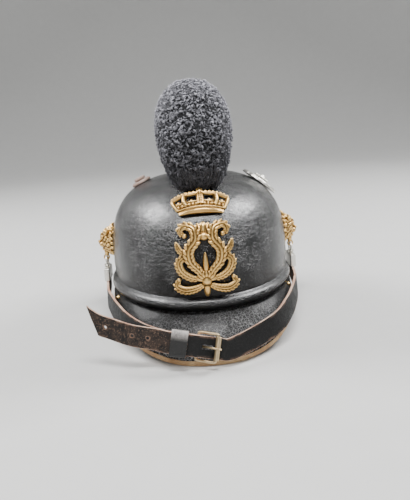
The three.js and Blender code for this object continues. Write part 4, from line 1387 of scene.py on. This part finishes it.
def mark_rims(bm, holes):
    """Keeps which vertices lie round the tail's holes, where the lacquer is rubbed away."""
    layer = bm.verts.layers.float.new("rim")
    reach = math.hypot(TAIL["hole_radius"], STRAP["thickness"] / 2) + 0.2
    for vert in bm.verts:
        vert[layer] = any((vert.co - hole).length < reach for hole in holes)


def prong_slot(size, centre):
    """What cuts the prong's slot, centred at a place in the buckle's frame."""
    return placed(grid_box(size, (1, 1, 1)), AT_BUCKLE @ Matrix.Translation(centre))


def strap_left():
    """From the viewer's left: it turns round the buckle's bar and lies back on itself inside the keeper."""
    bm = bmesh.new()
    way = Way(side_way(-1) + [in_buckle(-34, -LAYER / 2), in_buckle(-30, -LAYER / 2)])
    ribbon(bm, way.length, 130, lambda share: strap_frame(way, share))
    bar = -BUCKLE["half_length"]
    arm = LAYER / 2
    turn_radius = FOLD_INNER + STRAP["thickness"] / 2
    bend = [math.radians(90 - 15 * step) for step in range(1, 12)]
    path = [(-30.5, -arm), (-20, -arm), (-16, -arm), (bar, -turn_radius)]
    path += [(bar + turn_radius * math.cos(t), -turn_radius * math.sin(t)) for t in bend]
    path += [(bar, turn_radius), (-16, arm), (-20, arm), (-31, arm)]
    fold = Way([(x, 0, z) for x, z in path])

    def fold_frame(share):
        along = fold.heading(share)
        across = Vector((0, 1, 0))
        turn = Matrix((along, across, along.cross(across))).transposed().to_4x4()
        return AT_BUCKLE @ Matrix.Translation(fold.at(share)) @ turn

    ribbon(bm, fold.length, 90, fold_frame)
    bm = punched(bm, prong_slot((13, PRONG["slot"], 14), (bar, 0, 0)))
    finished("strap_left_leather", bm, STRAP_FINISHES, ["strap_left"], sharp=40)


def strap_right():
    """From the viewer's right: under the roller, over the bar, through the keeper and out to a free tail."""
    over = FOLD_INNER + STRAP["thickness"] + LAYER / 2 + GAP / 2
    half = BUCKLE["half_length"]
    top = LAYER * 1.5
    through = [
        (17, 0.2), (half + 1, 0), (0, 3), (-half, over + 0.4), (-17, top + 0.9), (KEEPER["along"], top + 0.3),
        (-34, top + 0.4),
    ]
    way = Way(side_way(1) + [in_buckle(*spot) for spot in through] + [around(*row) for row in TAIL_WAY])
    bm = bmesh.new()
    tail_from = 1 - TAIL["worn"] / way.length
    ribbon(bm, way.length, 260, lambda share: strap_frame(way, share), TAIL["slant"], tail_from)
    cutters = prong_slot((9, PRONG["slot"], 12), (0, 0, 3))
    holes = [strap_frame(way, 1 - distance / way.length) for distance in TAIL["holes"]]
    radius = TAIL["hole_radius"]
    for hole in holes:
        bmesh.ops.create_cone(
            cutters, cap_ends=True, segments=24, radius1=radius, radius2=radius, depth=8, matrix=hole,
        )
    bm = punched(bm, cutters)
    mark_rims(bm, [hole.translation for hole in holes])
    finished("strap_right_leather", bm, STRAP_FINISHES, ["strap_right"], sharp=40)


# Buckle: a wire frame, a roller on its far bar, a prong on its near bar, and a leather keeper beside it.
def buckle_tilt():
    half = BUCKLE["half_length"]
    tilt = Matrix.Rotation(-math.asin(BUCKLE["lift"] / (2 * half)), 4, "Y")
    return AT_BUCKLE @ Matrix.Translation((-half, 0, 0)) @ tilt @ Matrix.Translation((half, 0, 0))


def buckle():
    bm = wire_ring(2, 1, 160, 16)

    def square(p):
        turn = math.atan2(p.y, p.x)
        spread = math.hypot(p.x, p.y) - 2
        power = 2 / 10
        x = BUCKLE["half_length"] * math.copysign(abs(math.cos(turn)) ** power, math.cos(turn))
        y = BUCKLE["half_height"] * math.copysign(abs(math.sin(turn)) ** power, math.sin(turn))
        scale = 1 + spread * BUCKLE["wire"] / math.hypot(x, y)
        return Vector((x * scale, y * scale, p.z * BUCKLE["wire"]))

    moved(bm.verts, square)
    placed(bm, buckle_tilt())
    metal_piece("buckle_frame_brass", bm, OLD_BRASS, "buckle_frame")


def roller():
    half, outer, inner = ROLLER["length"] / 2, ROLLER["outer"], BUCKLE["wire"] + GAP
    chamfer = 0.3
    rim = [(inner, -half), (outer - chamfer, -half), (outer, -half + chamfer)]
    rim += [(reach, -height) for reach, height in reversed(rim)]
    bm = turned(rim + [rim[0]], 40)
    upright = Matrix.Translation((BUCKLE["half_length"], 0, 0)) @ Matrix.Rotation(-math.pi / 2, 4, "X")
    placed(bm, buckle_tilt() @ upright)
    metal_piece("buckle_roller_brass", bm, OLD_BRASS, "buckle_roller", sharp=35)


def prong():
    bm = bmesh.new()
    half = BUCKLE["half_length"]
    across = Matrix.Translation((-half, 0, 0)) @ Matrix.Rotation(math.pi / 2, 4, "X")
    join(bm, placed(wire_ring(FOLD_INNER + 0.9, 0.9, 32, 10), across))
    rest = BUCKLE["lift"] + ROLLER["outer"] + PRONG["wire"] + 3 * GAP
    way = Way([(-half + 2.5, 0, 0.6), (0, 0, 3.4), (half, 0, rest), (half + 2.6, 0, rest + 0.3)])
    rod(bm, way, lambda s: PRONG["wire"] * (1 - 0.25 * s), 40, 14)
    placed(bm, AT_BUCKLE)
    metal_piece("buckle_prong_brass", bm, OLD_BRASS, "buckle_prong", sharp=50)


def keeper():
    half = STRAP["width"] / 2 + KEEPER["play"]
    low = -LAYER / 2 - STRAP["thickness"] / 2 - KEEPER["play"]
    high = LAYER * 1.5 + STRAP["thickness"] / 2 + KEEPER["play"] + 1
    size = (KEEPER["length"], 2 * half, high - low)
    bm = sheet_box(size, (14, 10, 6), 0, (-1, 1), KEEPER["corner"], -KEEPER["sheet"])
    layer = bm.verts.layers.float.new("rub")
    for vert in bm.verts:
        vert[layer] = clamp((vert.co.y / half - 0.3) * 1.7) * clamp(0.6 + vert.normal.z)
    for face in bm.faces:
        face.material_index = 1 if abs(face.normal.x) > 0.6 else 0
    placed(bm, AT_BUCKLE @ Matrix.Translation((KEEPER["along"], 0, (low + high) / 2)))
    finishes = [KEEPER_LEATHER, STRAP_EDGE]
    finished("keeper_loop_leather", bm, finishes, ["strap_keeper"], sharp=40)


# Side fittings: a fluted cockade, a two-tier rosette and the visor's studs.
def cockade():
    place = dome_frame(COCKADE["angle"], COCKADE["climb"])
    radius, sheet = COCKADE["radius"], COCKADE["sheet"]
    under = [(0, -1), (0.3, -1), (0.34, 0), (0.97, 0)]
    rim = [(1, 0.12), (1, 0.3), (0.985, 0.8), (0.95, 1.45), (0.915, 1.75), (0.89, 1.6), (0.86, 1.3)]
    face = [(0.86 - 0.05 * step, 1.6 - 0.3 * 0.4**step) for step in range(1, 12)] + [(0, 1.6)]
    bm = turned([(reach * radius, height * sheet) for reach, height in under + rim + face], 256)

    def flute(p):
        reach = math.hypot(p.x, p.y)
        share = reach / radius
        rib = math.cos(math.atan2(p.y, p.x) * COCKADE["flutes"])
        wave = 0.2 * share * rib if 0.34 < share < 0.9 and p.z > 0.05 else 0
        spread = 1 + 0.02 * rib * clamp(share * 8 - 7)
        lift = COCKADE["lift"] - reach**2 / (2 * COCKADE["crown"])
        return place @ Vector((p.x * spread, p.y * spread, p.z + wave + lift))

    moved(bm.verts, lambda p: off_dome(flute(p), CLEAR["fitting"]))
    metal_piece("cockade_disc_metal", bm, WHITE_METAL, "cockade_disc", sharp=50)
    cockade_boss(place)


def cockade_boss(place):
    bm = bmesh.new()
    lump(bm, (6.2, 6.2, 3.2), (0, 0, 4.7), sides=40, rows=24)
    pearls = 14
    for number in range(pearls):
        turn = math.tau * number / pearls
        lump(bm, (1.35, 1.35, 1.35), (7.2 * math.cos(turn), 7.2 * math.sin(turn), 4.8))
    lump(bm, (2.3, 2.3, 1.6), (0, 0, 7.2), sides=24, rows=16)
    face = COCKADE["lift"] + 1.6 * COCKADE["sheet"] + GAP
    everything = bm.verts[:] + bm.edges[:] + bm.faces[:]
    cut = bmesh.ops.bisect_plane(
        bm, geom=everything, plane_co=(0, 0, face), plane_no=UP, clear_inner=True,
    )
    open_edges = [e for e in cut["geom_cut"] if isinstance(e, bmesh.types.BMEdge)]
    bmesh.ops.holes_fill(bm, edges=open_edges, sides=0)
    bm = placed(cast(bm, VOXEL["cockade"]), place)
    metal_piece("cockade_boss_metal", bm, WHITE_METAL, "cockade_boss")


# Rows of a rosette tier's section: share of its radius, share of its thickness.
TIER_ROWS = [
    (0, 0), (0.9, 0), (0.97, 0.18), (1, 0.42), (0.96, 0.68),
    (0.86, 0.9), (0.8, 0.97), (0.72, 0.9), (0.6, 0.96), (0, 1),
]


def rosette_tier(name, node, radius, base, thickness, scallops):
    place = dome_frame(ROSETTE["angle"], ROSETTE["climb"])
    bm = turned([(reach * radius, base + height * thickness) for reach, height in TIER_ROWS], 8 * scallops)

    def scallop(p):
        reach = math.hypot(p.x, p.y) / radius
        wave = abs(math.sin(math.atan2(p.y, p.x) * scallops / 2))
        spread = 1 - 0.07 * (1 - wave) * clamp((reach - 0.6) * 4)
        return place @ Vector((p.x * spread, p.y * spread, p.z))

    moved(bm.verts, lambda p: off_dome(scallop(p), CLEAR["fitting"]))
    mark_hollows(bm)
    finished(name, bm, [PALE_LEATHER], [node])


def rosette():
    thick, sink = ROSETTE["thickness"], 1
    rosette_tier(
        "rosette_base_leather", "rosette_base", ROSETTE["radius"], -sink, thick + sink, ROSETTE["scallops"],
    )
    rosette_tier(
        "rosette_button_leather", "rosette_button", ROSETTE["button"], thick + GAP, thick,
        ROSETTE["button_scallops"],
    )


def visor_stud(side, label):
    radius = STUD["radius"]
    across = side * STUD["angle"] / VISOR["span"]
    origin = brim_point(VISOR, across, STUD["along"], 1)
    level = brim_point(VISOR, across + 1 / VISOR["span"], STUD["along"], 1) - origin
    upward = (brim_point(VISOR, across, STUD["along"] - 0.1, 1) - origin).normalized()
    place = frame_at(origin, level.cross(upward).normalized(), upward)
    turns = [math.radians(angle) for angle in range(0, 91, 10)]
    dome = [(radius * math.sin(turn), GAP + radius * STUD["rise"] * math.cos(turn)) for turn in turns]
    bm = placed(turned(dome + [(radius, GAP), (0, GAP)], 32), place)
    metal_piece(f"visor_stud_{label}_brass", bm, BRASS, f"visor_stud_{label}", sharp=40)


# Stage: a pale floor that sweeps up all round, soft lights, and the camera at the photograph's angle.
def floor():
    material, n, shader, place = finish_base("pale_floor", Roughness=0.75)
    speck = n.noise(place, 40.0, 3.0, 0.5)
    n.feed(shader.inputs["Base Color"], n.mix(speck, colour(0.62, 0.62, 0.61), colour(0.66, 0.66, 0.65)))
    flat, bend, wall = 1.4, 0.9, 1.7
    turns = [math.radians(angle) for angle in range(10, 91, 10)]
    sweep = [(flat + bend * math.sin(turn), bend - bend * math.cos(turn)) for turn in turns]
    bm = turned([(0.0, 0.0), (flat, 0.0), *sweep, (flat + bend, wall)], 96)
    mesh = mesh_of(bm, "floor")
    mesh.materials.append(material)
    mesh.shade_smooth()
    ground = added("floor", mesh)


# Soft lights: place, width and height, power, tint. Each aims at a height over the middle of the floor.
WHITE = (1, 1, 1)
WORLD = dict(tint=(0.80, 0.82, 0.85), strength=0.13)
LIGHT_AIM, PANEL_AIM = 0.12, 0.15
LIGHTS = {
    "left_window": ((-0.85, 0.35, 0.95), (0.5, 0.5), 19, WHITE),
    "right_window": ((0.9, 0.35, 0.95), (0.5, 0.5), 19, WHITE),
    "top_panel": ((0.05, -0.45, 1.1), (0.6, 0.24), 15, WHITE),
    "front_fill": ((-0.15, -1.3, 0.55), (0.8, 0.6), 3, (1, 0.97, 0.93)),
}
# Broad panels that only the lacquered dome mirrors, as its large soft highlights.
LACQUER_PANELS = {
    "left_panel": ((-0.95, 0.0, 1.05), (0.62, 0.62), 95, WHITE),
    "right_panel": ((0.95, 0.0, 1.05), (0.62, 0.62), 95, WHITE),
    "bead_panel": ((0, -0.6, 1.1), (1.0, 0.16), 42, WHITE),
}


def soft_light(name, aim_height, place, size, power, tint):
    lamp = bpy.data.lights.new(name, "AREA")
    lamp.shape = "RECTANGLE"
    lamp.size, lamp.size_y = size
    lamp.energy = power
    lamp.color = tint
    light = added(name, lamp)
    light.location = place
    light.rotation_euler = (Vector((0, 0, aim_height)) - Vector(place)).to_track_quat("-Z", "Y").to_euler()
    return light


def lacquer_panels(piece):
    lacquered = bpy.data.collections.new("lacquered")
    lacquered.objects.link(piece)
    for name, panel in LACQUER_PANELS.items():
        light = soft_light(name, PANEL_AIM, *panel)
        light.light_linking.receiver_collection = lacquered


def lights():
    world = bpy.data.worlds.new("studio")
    world.use_nodes = True
    background = world.node_tree.nodes["Background"]
    background.inputs["Color"].default_value = colour(*WORLD["tint"])
    background.inputs["Strength"].default_value = WORLD["strength"]
    bpy.context.scene.world = world
    for name, light in LIGHTS.items():
        soft_light(name, LIGHT_AIM, *light)


# The photograph's view: the camera's angles, its distance, and where its target falls in the frame.
VIEW = dict(
    elevation=12.14, azimuth=-2.4, roll=-3.8, distance=597, target_height=93, focal=569,
    frame_width=410, frame_height=500, target_x=197.7, target_y=223.5, sensor=36,
)


def camera():
    lean, turn, roll = (math.radians(VIEW[key]) for key in ("elevation", "azimuth", "roll"))
    back = Vector((math.sin(turn) * math.cos(lean), -math.cos(turn) * math.cos(lean), math.sin(lean)))
    right = Vector((math.cos(turn), math.sin(turn), 0))
    up = back.cross(right)
    level = right * math.cos(roll) + up * math.sin(roll)
    upright = up * math.cos(roll) - right * math.sin(roll)
    target = Vector((AXIS.x, AXIS.y, VIEW["target_height"] * MM))
    width, height = VIEW["frame_width"], VIEW["frame_height"]
    data = bpy.data.cameras.new("camera")
    data.sensor_fit = "VERTICAL"
    data.sensor_height = VIEW["sensor"]
    data.sensor_width = VIEW["sensor"] * width / height
    data.lens = VIEW["focal"] * VIEW["sensor"] / height
    data.shift_x = (width / 2 - VIEW["target_x"]) / height
    data.shift_y = (VIEW["target_y"] - height / 2) / height
    data.clip_start = 0.01
    eye = added("camera", data)
    turned_back = Matrix((level, upright, back)).transposed().to_4x4()
    eye.matrix_world = Matrix.Translation(target + back * VIEW["distance"] * MM) @ turned_back
    bpy.context.scene.camera = eye


camera()
floor()
lights()
lacquer_panels(skull())
brim("visor_leather", VISOR, "visor")
brim("neck_guard_leather", GUARD, "neck_guard")
crest()
crown()
emblem()
for side, label in ((-1, "left"), (1, "right")):
    lion_boss(side, label)
    hanger(side, label)
    visor_stud(side, label)
strap_left()
strap_right()
buckle()
roller()
prong()
keeper()
cockade()
rosette()
